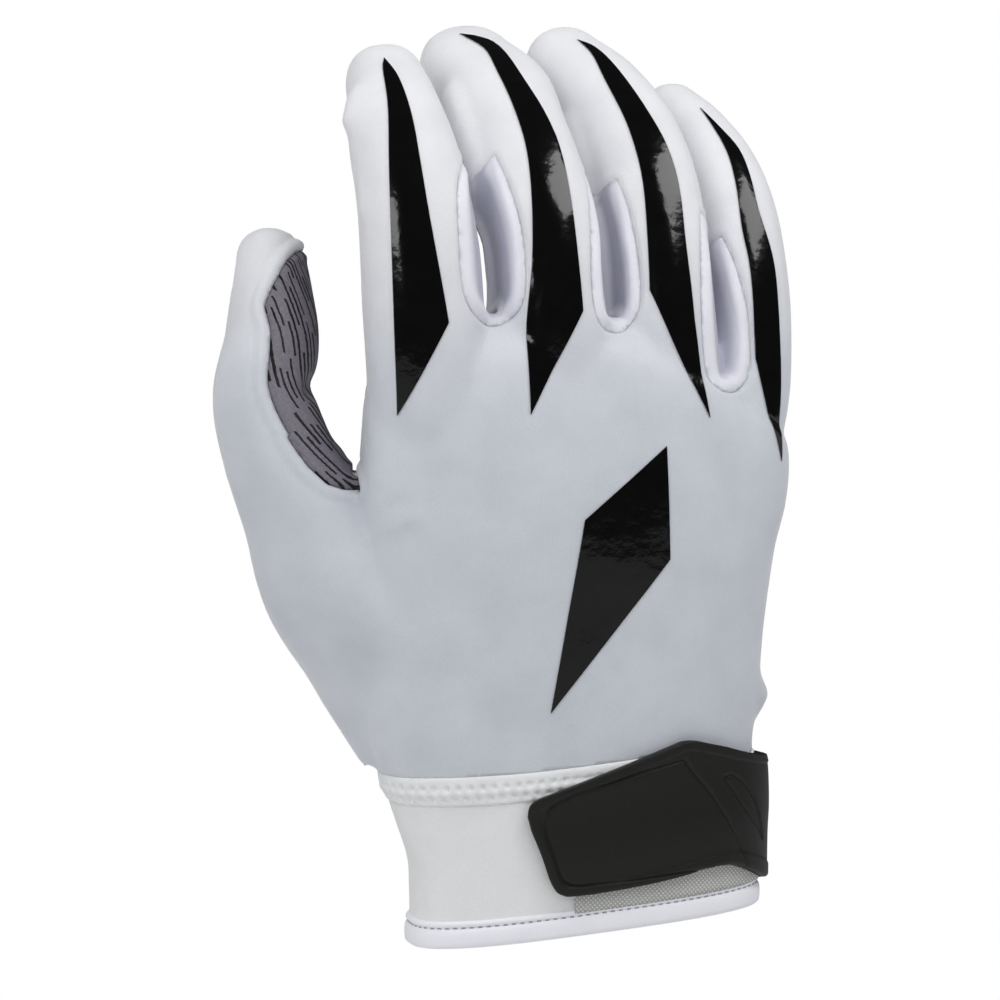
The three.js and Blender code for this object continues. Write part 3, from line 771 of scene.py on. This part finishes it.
def clothMaterial(name, light, dark, grain, roughness, bumpStrength, upper=None, inner=None,
                  sheen=0.25):
    material, tree, shader = newMaterial(name, {
        "Roughness": roughness, "Sheen Weight": sheen, "Sheen Roughness": cloth["sheenRoughness"]})
    place = objectPlace(tree)
    fine = noiseAt(tree, place, Scale=grain, Detail=3.0, Roughness=0.6)
    patches = noiseAt(tree, place, Scale=cloth["patchScale"], Detail=2.0)
    blend = calculate(tree, "MULTIPLY_ADD", fine, cloth["grainShare"], patches)
    spread = rangeOf(tree, blend, cloth["darkAt"], cloth["lightAt"])
    colour = mixColours(tree, spread, dark, light)
    if upper:
        # painted light: the cloth turns whiter towards the fingers, standing in for light falling
        # from above
        low, high, paintedToplitDark, paintedToplitLight = upper
        rise = rangeOf(tree, partsOf(tree, place)["Z"], low, high, "SMOOTHSTEP")
        colour = mixColours(tree, rise, colour, mixColours(tree, spread, paintedToplitDark, paintedToplitLight))
    if inner:
        # away from the rolled rim the wall between two fingers is a greyer cloth, drawn darker
        # still as painted shade deep in the gap
        depth = addNode(tree, "ShaderNodeUVMap", {"uv_map": "wall"})
        behind = partsOf(tree, depth.outputs["UV"])["X"]
        colour = mixColours(tree, behind, colour, mixColours(tree, spread, *inner))
    tree.links.new(colour, shader.inputs["Base Color"])
    addBump(tree, shader, fine, bumpStrength, cloth["bumpDepth"])
    return material


# the upper colours whiten the fingers as painted light from above
backCloth = clothMaterial("back_cloth", (0.65, 0.672, 0.722), (0.565, 0.592, 0.647), 2.4, 0.8, 0.4,
                          upper=(108, 168, (0.78, 0.78, 0.81), (0.86, 0.86, 0.88)), sheen=0.7)
# the inner colours are the greyer wall cloth darkened further by painted shade between the fingers
sideCloth = clothMaterial("side_cloth", (0.87, 0.87, 0.92), (0.80, 0.80, 0.87), 2.0, 0.85, 0.3,
                          inner=((0.44, 0.44, 0.53), (0.54, 0.54, 0.63)))
cuffKnit = clothMaterial("cuff_knit", (0.88, 0.89, 0.89), (0.80, 0.81, 0.81), 1.8, 0.9, 0.5)
hemTape = clothMaterial("hem_tape", (0.95, 0.95, 0.99), (0.90, 0.90, 0.96), 2.2, 0.8, 0.3)
stitchThread = clothMaterial("stitch_thread", (0.46, 0.46, 0.50), (0.30, 0.30, 0.33), 3.0, 0.8,
                             0.4)

meshCords = {"turns": (40, -50), "scale": 0.42, "distortion": 0.4,
             "dark": (0.42, 0.42, 0.40), "light": (0.88, 0.88, 0.86)}


def loopMeshMaterial():
    # fine crossed diagonal cords
    material, tree, shader = newMaterial("loop_mesh", {"Roughness": 0.9})
    heights = []
    for turn in meshCords["turns"]:
        wave = addNode(tree, "ShaderNodeTexWave", {"bands_direction": "X"},
                       Scale=meshCords["scale"], Distortion=meshCords["distortion"])
        tree.links.new(objectPlace(tree, turn), wave.inputs["Vector"])
        heights.append(wave.outputs["Fac"])
    both = calculate(tree, "MULTIPLY", *heights)
    colour = mixColours(tree, both, meshCords["dark"], meshCords["light"])
    tree.links.new(colour, shader.inputs["Base Color"])
    addBump(tree, shader, both, 0.6, 0.0003)
    return material


loopMesh = loopMeshMaterial()

# the dashes printed on the grip sheet, in millimetres
dashes = {"lean": 0.38, "apart": 1.6, "slide": 370.0, "lengthScale": 0.065, "lengthDetail": 0.3,
          "thinnest": 0.17, "thicker": 0.1, "cover": 0.47, "colour": (0.005, 0.005, 0.007)}


def gripMaterial():
    material, tree, shader = newMaterial("grip_sheet", {"Roughness": 0.5})
    fine = noiseAt(tree, objectPlace(tree), Scale=1.5, Detail=2.0)
    pattern = addNode(tree, "ShaderNodeUVMap", {"uv_map": "grip"})
    parts = partsOf(tree, pattern.outputs["UV"])
    lean = calculate(tree, "MULTIPLY_ADD", parts["Y"], dashes["lean"], parts["X"])
    lines = calculate(tree, "DIVIDE", lean, dashes["apart"])
    across = calculate(tree, "SUBTRACT", calculate(tree, "FRACT", lines), 0.5)
    across = calculate(tree, "ABSOLUTE", across)
    # each line has its own width and slides its dashes by its own amount
    seed = addNode(tree, "ShaderNodeTexWhiteNoise", {"noise_dimensions": "1D"})
    tree.links.new(calculate(tree, "FLOOR", lines), seed.inputs["W"])
    slid = calculate(tree, "MULTIPLY_ADD", seed.outputs["Value"], dashes["slide"], parts["Y"])
    lengths = addNode(tree, "ShaderNodeTexNoise", {"noise_dimensions": "1D"},
                      Scale=dashes["lengthScale"], Detail=dashes["lengthDetail"])
    tree.links.new(slid, lengths.inputs["W"])
    widths = calculate(tree, "MULTIPLY_ADD", seed.outputs["Value"], dashes["thicker"],
                       dashes["thinnest"])
    inLine = calculate(tree, "LESS_THAN", across, widths)
    inDash = calculate(tree, "GREATER_THAN", lengths.outputs["Fac"], dashes["cover"])
    dash = calculate(tree, "MULTIPLY", inLine, inDash)
    sheet = mixColours(tree, fine, (0.13, 0.118, 0.142), (0.26, 0.24, 0.28))
    tree.links.new(mixColours(tree, dash, sheet, dashes["colour"]), shader.inputs["Base Color"])
    addBump(tree, shader, fine, 0.3, 0.0004)
    return material


gripSheet = gripMaterial()


def mouldedMaterial(name, settings, dark, light, bump, **grain):
    # one dark colour with a slight variation and the same grain as bump
    material, tree, shader = newMaterial(name, settings)
    fine = noiseAt(tree, objectPlace(tree), **grain)
    tree.links.new(mixColours(tree, fine, dark, light), shader.inputs["Base Color"])
    addBump(tree, shader, fine, *bump)
    return material


stripeFilm = mouldedMaterial("stripe_film", {"Roughness": 0.12}, (0.0015, 0.0015, 0.0015),
                             (0.004, 0.004, 0.004), (0.2, 0.0006), Scale=0.25, Detail=3.0)
tabRubber = mouldedMaterial("tab_rubber", {"Roughness": 0.48, "Specular IOR Level": 0.32},
                            (0.009, 0.009, 0.008), (0.015, 0.015, 0.013), (0.25, 0.0003),
                            Scale=2.6, Detail=3.0, Roughness=0.7)
print("materials made")


def finishPiece(bm, name, material, nodes, wall=0.0):
    bmesh.ops.scale(bm, vec=(general["toMetres"],) * 3, verts=bm.verts)
    for face in bm.faces:
        face.smooth = True
        face.material_index = 0
    piece = meshObject(name, bm)
    if wall:
        thicken = piece.modifiers.new("wall", "SOLIDIFY")
        thicken.thickness = wall * general["toMetres"]
        thicken.offset = -1
        applyModifiers(piece)
    piece.data.materials.clear()
    piece.data.materials.append(material)
    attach(piece, "root")
    if nodes:
        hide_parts(*nodes)


# the sewn panels
panels = {
    "back_panel": ("back_cloth", backCloth),
    "palm_panel": ("grip_sheet", gripSheet),
    "thumb_grip": ("grip_sheet", gripSheet),
    "gusset_index_middle": ("side_cloth", sideCloth),
    "gusset_middle_ring": ("side_cloth", sideCloth),
    "gusset_ring_pinky": ("side_cloth", sideCloth),
}
# which points of the grip sheet take their pattern from a finger rather than from the palm
pattern = {"from": 1.6, "reach": 1.25, "thumbRadius": 11.0}


def patternCoordinates(points):
    # across and along the nearest finger or the palm, in millimetres
    across, along = points[:, 0].copy(), points[:, 2].copy()
    reach = np.full(len(points), 1e9)
    for name in fingers:
        near = nearFinger(name, points)
        at, side, palmar, wide, deep = fingerPlaces[name].places(points[near])
        apart = np.hypot(side / wide, palmar / deep)
        closer = (apart < reach[near]) & (at > pattern["from"]) & (apart < pattern["reach"])
        where = np.nonzero(near)[0][closer]
        if name == "thumb":
            side = np.arctan2(side, -palmar) * pattern["thumbRadius"]
        across[where] = side[closer]
        along[where] = (at * general["placeLength"])[closer]
        reach[where] = apart[closer]
    return across, along


def dropFaces(bm, unwanted):
    bmesh.ops.delete(bm, geom=unwanted, context="FACES")
    bmesh.ops.delete(bm, geom=[v for v in bm.verts if not v.link_faces], context="VERTS")


def addMap(bm, name, placeOf):
    layer = bm.loops.layers.uv.new(name)
    for face in bm.faces:
        for loop in face.loops:
            loop[layer].uv = placeOf(loop.vert)


def makePanel(name):
    bm = skin.copy()
    dropFaces(bm, [face for face in bm.faces if face.material_index != panelNumber[name]])
    slot, material = panels[name]
    if slot == "grip_sheet":
        across, along = patternCoordinates(coordinates(bm))
        bm.verts.index_update()
        addMap(bm, "grip", lambda vert: (across[vert.index], along[vert.index]))
    inner = bm.verts.layers.float["inner"]
    if slot == "side_cloth":
        addMap(bm, "wall", lambda vert: (vert[inner], 0))
    bm.verts.layers.float.remove(inner)
    finishPiece(bm, name + "_cloth", material, [name], general["panelWall"])


for panelName in panels:
    makePanel(panelName)
print("panels made")

# films on the back: blades and the kite
film = {"proud": 0.35, "sunk": 0.3, "cutFrom": -60, "sharp": 0.7}
# each outline is a chain of smooth runs that meet at sharp corners, (x, z) as seen from the back
stripeRuns = {
    "stripe_index": {"deep": 30, "runs": [
        [(-42.0, 195.6), (-40.2, 191), (-39.2, 183), (-38.7, 173), (-37.5, 160), (-34.1, 137)],
        [(-34.1, 137), (-45.3, 116.5)],
        [(-45.3, 116.5), (-45.9, 136), (-45.9, 160), (-45.3, 174), (-43.9, 186), (-43.2, 193),
         (-42.0, 195.6)]]},
    "stripe_middle": {"deep": 48, "runs": [
        [(-19.6, 201.6), (-15.6, 200.9), (-12.2, 198.7), (-9.4, 190.5), (-6.4, 182), (-4.7, 173),
         (-3.9, 154), (-3.2, 139.3)],
        [(-3.2, 139.3), (-15.9, 116.5)],
        [(-15.9, 116.5), (-15.6, 136.5), (-14.2, 150), (-13.3, 163), (-12.9, 175), (-13.8, 184),
         (-15.2, 193), (-16.0, 198.2), (-19.6, 201.6)]]},
    "stripe_ring": {"deep": 50, "runs": [
        [(8.8, 200.4), (12.0, 198.6), (15.1, 193.6), (19.0, 184), (21.8, 176), (23.2, 167),
         (23.3, 153), (24.0, 137)],
        [(24.0, 137), (26.4, 115)],
        [(26.4, 115), (18.9, 131.5), (14.2, 143.5)],
        [(14.2, 143.5), (14.7, 158), (14.8, 170), (13.6, 181), (11.3, 191), (10.4, 197),
         (8.8, 200.4)]]},
    "stripe_pinky": {"deep": 46, "runs": [
        [(37.1, 184.6), (40.2, 180), (43.3, 175), (44.4, 169), (44.9, 161), (46.9, 151),
         (47.3, 142), (46.9, 121.5), (45.1, 104.5)],
        [(45.1, 104.5), (40.6, 127.5)],
        [(40.6, 127.5), (41.0, 147), (40.2, 157), (40.4, 167), (39.9, 175), (37.1, 184.6)]]},
}


def chained(runs, stepsEach=4):
    line = []
    for run in runs:
        count = (len(run) - 1) * stepsEach
        line += [tuple(rowAt(run, k / stepsEach)) for k in range(count)]
    return line


kite = {"foot": (-12, 50), "length": 65, "halfWidth": 11, "lean": 25, "shoulder": 0.65}


def kiteOutline():
    lean = math.radians(kite["lean"])
    along, across = (math.sin(lean), math.cos(lean)), (math.cos(lean), -math.sin(lean))
    corners = [(0, 0), (kite["shoulder"], kite["halfWidth"]), (1, 0),
               (kite["shoulder"], -kite["halfWidth"])]
    return [tuple(kite["foot"][i] + share * kite["length"] * along[i] + aside * across[i]
                  for i in (0, 1)) for share, aside in corners]


def offsetForm(name, amount):
    bm = skin.copy()
    bm.normal_update()
    for vert in bm.verts:
        vert.co += vert.normal * amount
    return meshObject(name, bm)


def prismOf(name, outline, near, far):
    bm = bmesh.new()
    corners = [bm.verts.new((x, near, z)) for x, z in outline]
    face = bm.faces.new(corners)
    pushed = bmesh.ops.extrude_face_region(bm, geom=[face])["geom"]
    bmesh.ops.translate(bm, vec=(0, far - near, 0),
                        verts=[g for g in pushed if isinstance(g, bmesh.types.BMVert)])
    bmesh.ops.recalc_face_normals(bm, faces=bm.faces)
    return meshObject(name, bm)


outerForm = offsetForm("outer_form", film["proud"])
innerForm = offsetForm("inner_form", -film["sunk"])


def keepOuter(bm):
    # of the separate pieces of film, keep the one on the back of the hand
    left = set(bm.faces)
    islands = []
    while left:
        island, edge = set(), [left.pop()]
        while edge:
            face = edge.pop()
            island.add(face)
            beside = {other for e in face.edges for other in e.link_faces} & left
            left -= beside
            edge += beside
        islands.append(island)
    islands.sort(key=lambda island: min(vert.co.y for face in island for vert in face.verts))
    dropFaces(bm, [face for island in islands[1:] for face in island])


def makeFilm(name, outline, far):
    cutter = prismOf(name + "_prism", outline, film["cutFrom"], far)
    for operation, other in (("INTERSECT", outerForm), ("DIFFERENCE", innerForm)):
        cut = cutter.modifiers.new(operation, "BOOLEAN")
        cut.operation = operation
        cut.object = other
        cut.solver = "MANIFOLD"
    applyModifiers(cutter)
    bm = bmesh.new()
    bm.from_mesh(cutter.data)
    removeObject(cutter)
    keepOuter(bm)
    for edge in bm.edges:
        edge.smooth = len(edge.link_faces) == 2 and edge.calc_face_angle() < film["sharp"]
    finishPiece(bm, name + "_film", stripeFilm, [name])


for stripeName, settings in stripeRuns.items():
    makeFilm(stripeName, chained(settings["runs"]), settings["deep"])
makeFilm("back_kite", kiteOutline(), 0)
removeObject(outerForm)
removeObject(innerForm)
skin.free()
print("films made")

# the wrist: cuff, seam band and hem, as rings round the palm's form
wrist = {"sides": 320, "turnSteps": 720, "level": 18}


def plainLift(angle, height):
    return 0.0


def hoopPiece(profile, name, material, sides=wrist["sides"], lift=plainLift):
    bm = bmesh.new()
    turns = [2 * math.pi * k / sides for k in range(sides)]
    rings = [addRing(bm, [palmPoint(h, angle, grow + (lift(angle, h) if grow > -1 else 0))
                          for angle in turns]) for grow, h in profile]
    bridgeRings(bm, rings, closed=True)
    finishPiece(bm, name, material, [name.rsplit("_", 1)[0]])


def steps(low, high, count):
    return [low + (high - low) * k / count for k in range(count + 1)]


def wristAngles():
    # angle at each distance round the wrist from the middle of its back
    found = [(0.0, -math.pi / 2)]
    previous = palmPoint(wrist["level"], -math.pi / 2, 0)
    for i in range(1, wrist["turnSteps"] + 1):
        angle = -math.pi / 2 + math.pi * i / wrist["turnSteps"]
        point = palmPoint(wrist["level"], angle, 0)
        found.append((found[-1][0] + (point - previous).length, angle))
        previous = point
    return np.array(found)


wristTable = wristAngles()
wrist["length"] = 2 * wristTable[-1][0]


def wristAround(angle):
    # the other way: distance round the wrist at an angle
    turned = (angle + math.pi / 2) % (2 * math.pi)
    if turned > math.pi:
        turned -= 2 * math.pi
    return math.copysign(float(np.interp(abs(turned) - math.pi / 2, wristTable[:, 1],
                                         wristTable[:, 0])), turned)


def wristAngle(around):
    angle = float(np.interp(abs(around), wristTable[:, 0], wristTable[:, 1]))
    return -math.pi - angle if around < 0 else angle


# each profile is how far out and how high; heights go from the first to the second in steps
cuff = {"heights": (0.4, 32.3, 22), "wall": 1.6}
cuffHeights = steps(*cuff["heights"])
cuffProfile = [(0, h) for h in cuffHeights] + [(-cuff["wall"], h) for h in reversed(cuffHeights)]
hoopPiece(cuffProfile, "cuff_knit", cuffKnit)

band = {"heights": (32.2, 37.3, 20), "sides": 720, "holes": 78, "holeRows": (33.3, 35.6),
        "holeDepth": 0.75, "holeWidth": 0.62, "puff": 0.5, "puffAt": 34.6, "puffWidth": 2.4,
        "grain": 0.12, "grainSize": 2.2, "tuck": 1.5, "tuckFrom": 0.3, "tuckBlend": 0.6}


def bandLift(angle, height):
    # two rows of needle holes in a soft band
    around = wristAround(angle)
    period = wrist["length"] / band["holes"]
    lift = 0.0
    for k, row in enumerate(band["holeRows"]):
        offset = ((around / period + 0.5 * k) % 1 - 0.5) * period
        lift -= band["holeDepth"] * math.exp(-((offset / band["holeWidth"]) ** 2
                                               + ((height - row) / band["holeWidth"]) ** 2))
    puff = band["puff"] * math.exp(-((height - band["puffAt"]) / band["puffWidth"]) ** 2)
    point = palmPoint(height, angle, 0)
    # on the little finger's side the band is tucked under the panels that reach down over it
    over = float(wristField(np.array([point]))[0]) + band["tuckFrom"]
    under = min(max(over / band["tuckBlend"], 0), 1) if point.x > wristDip["from"] else 0
    grain = band["grain"] * noise.noise(point / band["grainSize"])
    return (lift + puff) * (1 - under) - band["tuck"] * under + grain


bandProfile = ([(-0.3, 31.6), (0.15, 31.8)] + [(0.3, h) for h in steps(*band["heights"])]
               + [(0.2, 37.8), (-0.1, 38.1), (-0.8, 38.2), (-1.9, 37.8), (-1.9, 35), (-1.9, 33),
                  (-1.2, 31.6)])
hoopPiece(bandProfile, "seam_band_elastic", cuffKnit, band["sides"], bandLift)

# up the outer face, over the groove for the stitches and down inside the wrist
hemProfile = [(0.55, 0.1), (0.9, 0.4), (1.05, 1.3), (1.1, 2.4), (1.05, 3.4), (0.9, 4),
              (0.62, 4.35), (0.32, 4.55), (0.3, 4.7), (0.62, 4.95), (0.8, 5.25), (0.8, 5.6),
              (0.6, 5.95), (0.2, 6.1), (-1.8, 5.9), (-2.4, 5.6), (-2.6, 5), (-2.6, 1),
              (-2.3, 0.3), (-1.6, 0), (-0.4, -0.1)]
hoopPiece(hemProfile, "hem_binding_tape", hemTape)

hemStitch = {"apart": 1.9, "long": 0.9, "thick": 0.17, "height": 4.62, "proud": 0.42}


def makeHemStitches():
    # short stitches of thread lying in the groove under the hem's rolled edge
    bm = bmesh.new()
    count = round(wrist["length"] / hemStitch["apart"])
    for k in range(count):
        middle = (k / count - 0.5) * wrist["length"]
        ends = [palmPoint(hemStitch["height"], wristAngle(middle + aside * hemStitch["long"] / 2),
                          hemStitch["proud"]) for aside in (-1, 1)]
        way = ends[1] - ends[0]
        turned = way.to_track_quat("Z", "Y").to_matrix().to_4x4()
        turned.translation = (ends[0] + ends[1]) / 2
        bmesh.ops.create_cone(bm, cap_ends=True, segments=6, radius1=hemStitch["thick"],
                              radius2=hemStitch["thick"], depth=way.length, matrix=turned)
    finishPiece(bm, "hem_binding_stitches", stitchThread, [])


makeHemStitches()
print("wrist pieces made")

# the closure tab: its lower and upper edge at distances round the wrist
tab = {
    "rows": [(-15.0, 25.6, 28.6), (-14.6, 22.0, 30.2), (-14.0, 18.6, 31.0), (-13.0, 14.6, 31.8),
             (-11.2, 11.0, 32.5), (-9, 9.8, 33.0), (-4, 9.5, 34.3), (4, 9.5, 36.4),
             (11, 9.6, 38.3), (18.5, 9.9, 40.4), (20.2, 10, 40.9), (22.5, 10.1, 40.6),
             (26, 10.1, 39), (30, 9.6, 37.2), (34, 8.3, 35), (38, 6.9, 33.1), (42, 5.6, 31.7),
             (46, 4.8, 30.8), (50, 4.7, 30.4), (56, 5, 30.2), (60, 5.4, 30.2), (66, 6.2, 30.4),
             (74, 7.2, 30.3), (80, 8, 30), (82, 9.5, 28.5)],
    "lift": 1.1,
    "thick": 1.6,
    "columns": 300,
    "levels": 90,
    "crowding": 0.1,
    "border": 0.28,
    "borderWide": 2.2,
    "borderSoft": 0.4,
    "round": 0.7,
    "groove": 0.55,
    "grooveWidth": 0.3,
    # distances round the wrist that are searched for the corners below, and the hand's slope
    # is read at this height
    "searched": (-30, 60, 361),
    "level": 20,
    # the moulded line round the front field and the slot at its right (x, z)
    "field": [(18.9, 39.0), (10, 36.7), (2.9, 34.6), (-6.1, 32.0), (-11.0, 30.1),
              (-13.2, 28.2), (-14.0, 25.6), (-13.2, 21.5), (-11.4, 15.8), (-10.2, 12.8),
              (-8.6, 11.6), (-6.4, 11.2), (2.8, 11.8), (21, 13.4), (29.9, 13.5), (35.6, 12.2),
              (18.9, 39.0)],
    "slot": [(39.6, 18.5), (33.9, 26.8), (29.9, 32.6), (29.0, 34.2), (30.8, 34.7), (33.9, 32.7),
             (36.9, 28.4), (39.6, 18.5)],
}


def tabPlaces(corners):
    # corners given as x and z, as distances round the wrist and heights
    distances = np.linspace(*tab["searched"])
    row = palmRowAt(tab["level"])
    grow = tab["lift"] + tab["thick"]
    found = []
    for x, z in corners:
        height = z - row[5] * x - row[6] * x * x
        across = [palmPoint(height, wristAngle(distance), grow).x for distance in distances]
        found.append((float(np.interp(x, across, distances)), height))
    return found


def makeTab():
    # a plate round the wrist, whose outer face carries the raised border and the moulded lines
    bm = bmesh.new()
    around = np.linspace(tab["rows"][0][0], tab["rows"][-1][0], tab["columns"] + 1)
    low, high = column(tab["rows"], 1, around), column(tab["rows"], 2, around)
    for _ in range(3):
        low[1:-1] = (low[:-2] + low[1:-1] + low[2:]) / 3
        high[1:-1] = (high[:-2] + high[1:-1] + high[2:]) / 3
    share = np.linspace(0, 1, tab["levels"] + 1)
    share = share - np.sin(2 * np.pi * share) * tab["crowding"]
    heights = low[:, None] + (high - low)[:, None] * share[None, :]
    places = np.repeat(around[:, None], len(share), axis=1)
    rim = list(zip(around, low)) + list(zip(around[::-1], high[::-1])) + [(around[0], low[0])]
    edge = distanceToChain(places, heights, rim)
    field, slot = [distanceToChain(places, heights, tabPlaces(tab[name]))
                   for name in ("field", "slot")]
    line = np.minimum(field, slot)
    rounded = np.clip(1 - edge / tab["round"], 0, 1)
    lift = tab["thick"] - tab["round"] * (1 - np.sqrt(1 - rounded ** 2))
    lift += tab["border"] * np.clip((tab["borderWide"] - edge) / tab["borderSoft"] + 0.5, 0, 1)
    lift -= tab["groove"] * np.exp(-(line / tab["grooveWidth"]) ** 2)
    rings = []
    for i, distance in enumerate(around):
        angle = wristAngle(distance)
        outer = [palmPoint(h, angle, tab["lift"] + up) for h, up in zip(heights[i], lift[i])]
        inner = [palmPoint(h, angle, tab["lift"]) for h in heights[i][::-3]]
        rings.append(addRing(bm, outer + inner))
    bridgeRings(bm, rings)
    finishPiece(bm, "strap_tab", tabRubber, ["strap"])


makeTab()

# lowest, highest and number of steps, round the wrist and in height, and the two faces
loopPatch = {"around": (-7, 47, 80), "heights": (5.3, 28, 20), "outer": 0.9, "inner": 0.05}


def makeLoopPatch():
    bm = bmesh.new()
    heights = steps(*loopPatch["heights"])
    rings = []
    for distance in steps(*loopPatch["around"]):
        angle = wristAngle(distance)
        outer = [palmPoint(h, angle, loopPatch["outer"]) for h in heights]
        inner = [palmPoint(h, angle, loopPatch["inner"]) for h in reversed(heights)]
        rings.append(addRing(bm, outer + inner))
    bridgeRings(bm, rings)
    finishPiece(bm, "loop_patch_mesh", loopMesh, ["loop_patch"])


makeLoopPatch()
print("closure made")

# floor, backdrop and studio light
studio = {
    "floor": -0.16,
    "reach": 6.0,
    "floorColour": (0.85, 0.85, 0.85, 1),
    "floorRoughness": 0.9,
    "white": 1.0,
    "below": (0.25, 0.26, 0.275),
    "above": (0.50, 0.505, 0.51),
    "rise": (-0.6, 0.9),
    "mirrored": (0.03, 0.03, 0.03),
}


def mixByRay(tree, kind, otherwise, forKind):
    # one shader for the rays of a kind and another for the rest
    path = addNode(tree, "ShaderNodeLightPath")
    mix = addNode(tree, "ShaderNodeMixShader")
    tree.links.new(path.outputs[kind], mix.inputs[0])
    tree.links.new(otherwise, mix.inputs[1])
    tree.links.new(forKind, mix.inputs[2])
    return mix.outputs["Shader"]


def whiteToTheEye(tree, output, shader):
    # the surroundings look plain white, and light the glove only as much as the shader does
    white = addNode(tree, "ShaderNodeEmission", Strength=studio["white"])
    seen = mixByRay(tree, "Is Camera Ray", shader, white.outputs["Emission"])
    tree.links.new(seen, output.inputs["Surface"])


def makeStage():
    bm = bmesh.new()
    bmesh.ops.create_grid(bm, x_segments=1, y_segments=1, size=studio["reach"])
    bmesh.ops.translate(bm, vec=(0, 0, studio["floor"]), verts=bm.verts)
    floor = meshObject("floor", bm)
    material, tree, shader = newMaterial("floor_white", {
        "Base Color": studio["floorColour"], "Roughness": studio["floorRoughness"]})
    whiteToTheEye(tree, tree.nodes["Material Output"], shader.outputs["BSDF"])
    floor.data.materials.append(material)
    world = bpy.data.worlds.new("studio")
    world.use_nodes = True
    tree = world.node_tree
    # pale walls and ceiling, which shiny surfaces see as dark as a black studio
    way = addNode(tree, "ShaderNodeTexCoord")
    rise = rangeOf(tree, partsOf(tree, way.outputs["Generated"])["Z"], *studio["rise"])
    pale = tree.nodes["Background"]
    tree.links.new(mixColours(tree, rise, studio["below"], studio["above"]), pale.inputs["Color"])
    dark = addNode(tree, "ShaderNodeBackground", Color=(*studio["mirrored"], 1))
    walls = mixByRay(tree, "Is Glossy Ray", pale.outputs["Background"], dark.outputs["Background"])
    whiteToTheEye(tree, tree.nodes["World Output"], walls)
    bpy.context.scene.world = world


lights = {
    # place, what it faces, its size, power and colour, and whether shiny surfaces mirror it
    "key": ((0.23, -0.23, 0.5), (0, 0, 0.13), (0.28, 0.19), 0.75, (1, 1, 1), True),
    "top": ((-0.18, -0.26, 0.54), (0, 0, 0.13), (0.5, 0.5), 0.85, (1, 1, 1), False),
    "side": ((-0.65, -0.6, 0.46), (-0.04, 0, 0.16), (0.28, 0.22), 0.85, (1, 1, 1), True),
    "left": ((-1.0, 0.1, 0.3), (0, 0, 0.12), (0.5, 0.9), 1.0, (1, 1, 1), True),
    "right": ((1.0, 0.1, 0.3), (0, 0, 0.12), (0.5, 0.9), 0.55, (0.96, 0.98, 1), True),
    "low": ((-0.1, -0.42, -0.14), (0, 0, 0.01), (0.25, 0.12), 0.14, (1, 1, 1), False),
}


def addLight(name, place, aim, size, power, colour, mirrored):
    data = bpy.data.lights.new(name, "AREA")
    data.shape = "RECTANGLE"
    data.size, data.size_y = size
    data.energy = power
    data.color = colour
    light = bpy.data.objects.new(name, data)
    light.location = place
    light.rotation_euler = (Vector(place) - Vector(aim)).to_track_quat("Z", "Y").to_euler()
    light.visible_glossy = mirrored
    bpy.context.scene.collection.objects.link(light)


makeStage()
for lightName, settings in lights.items():
    addLight(lightName, *settings)
bpy.context.scene.view_settings.view_transform = "Standard"
print("stage and light made")
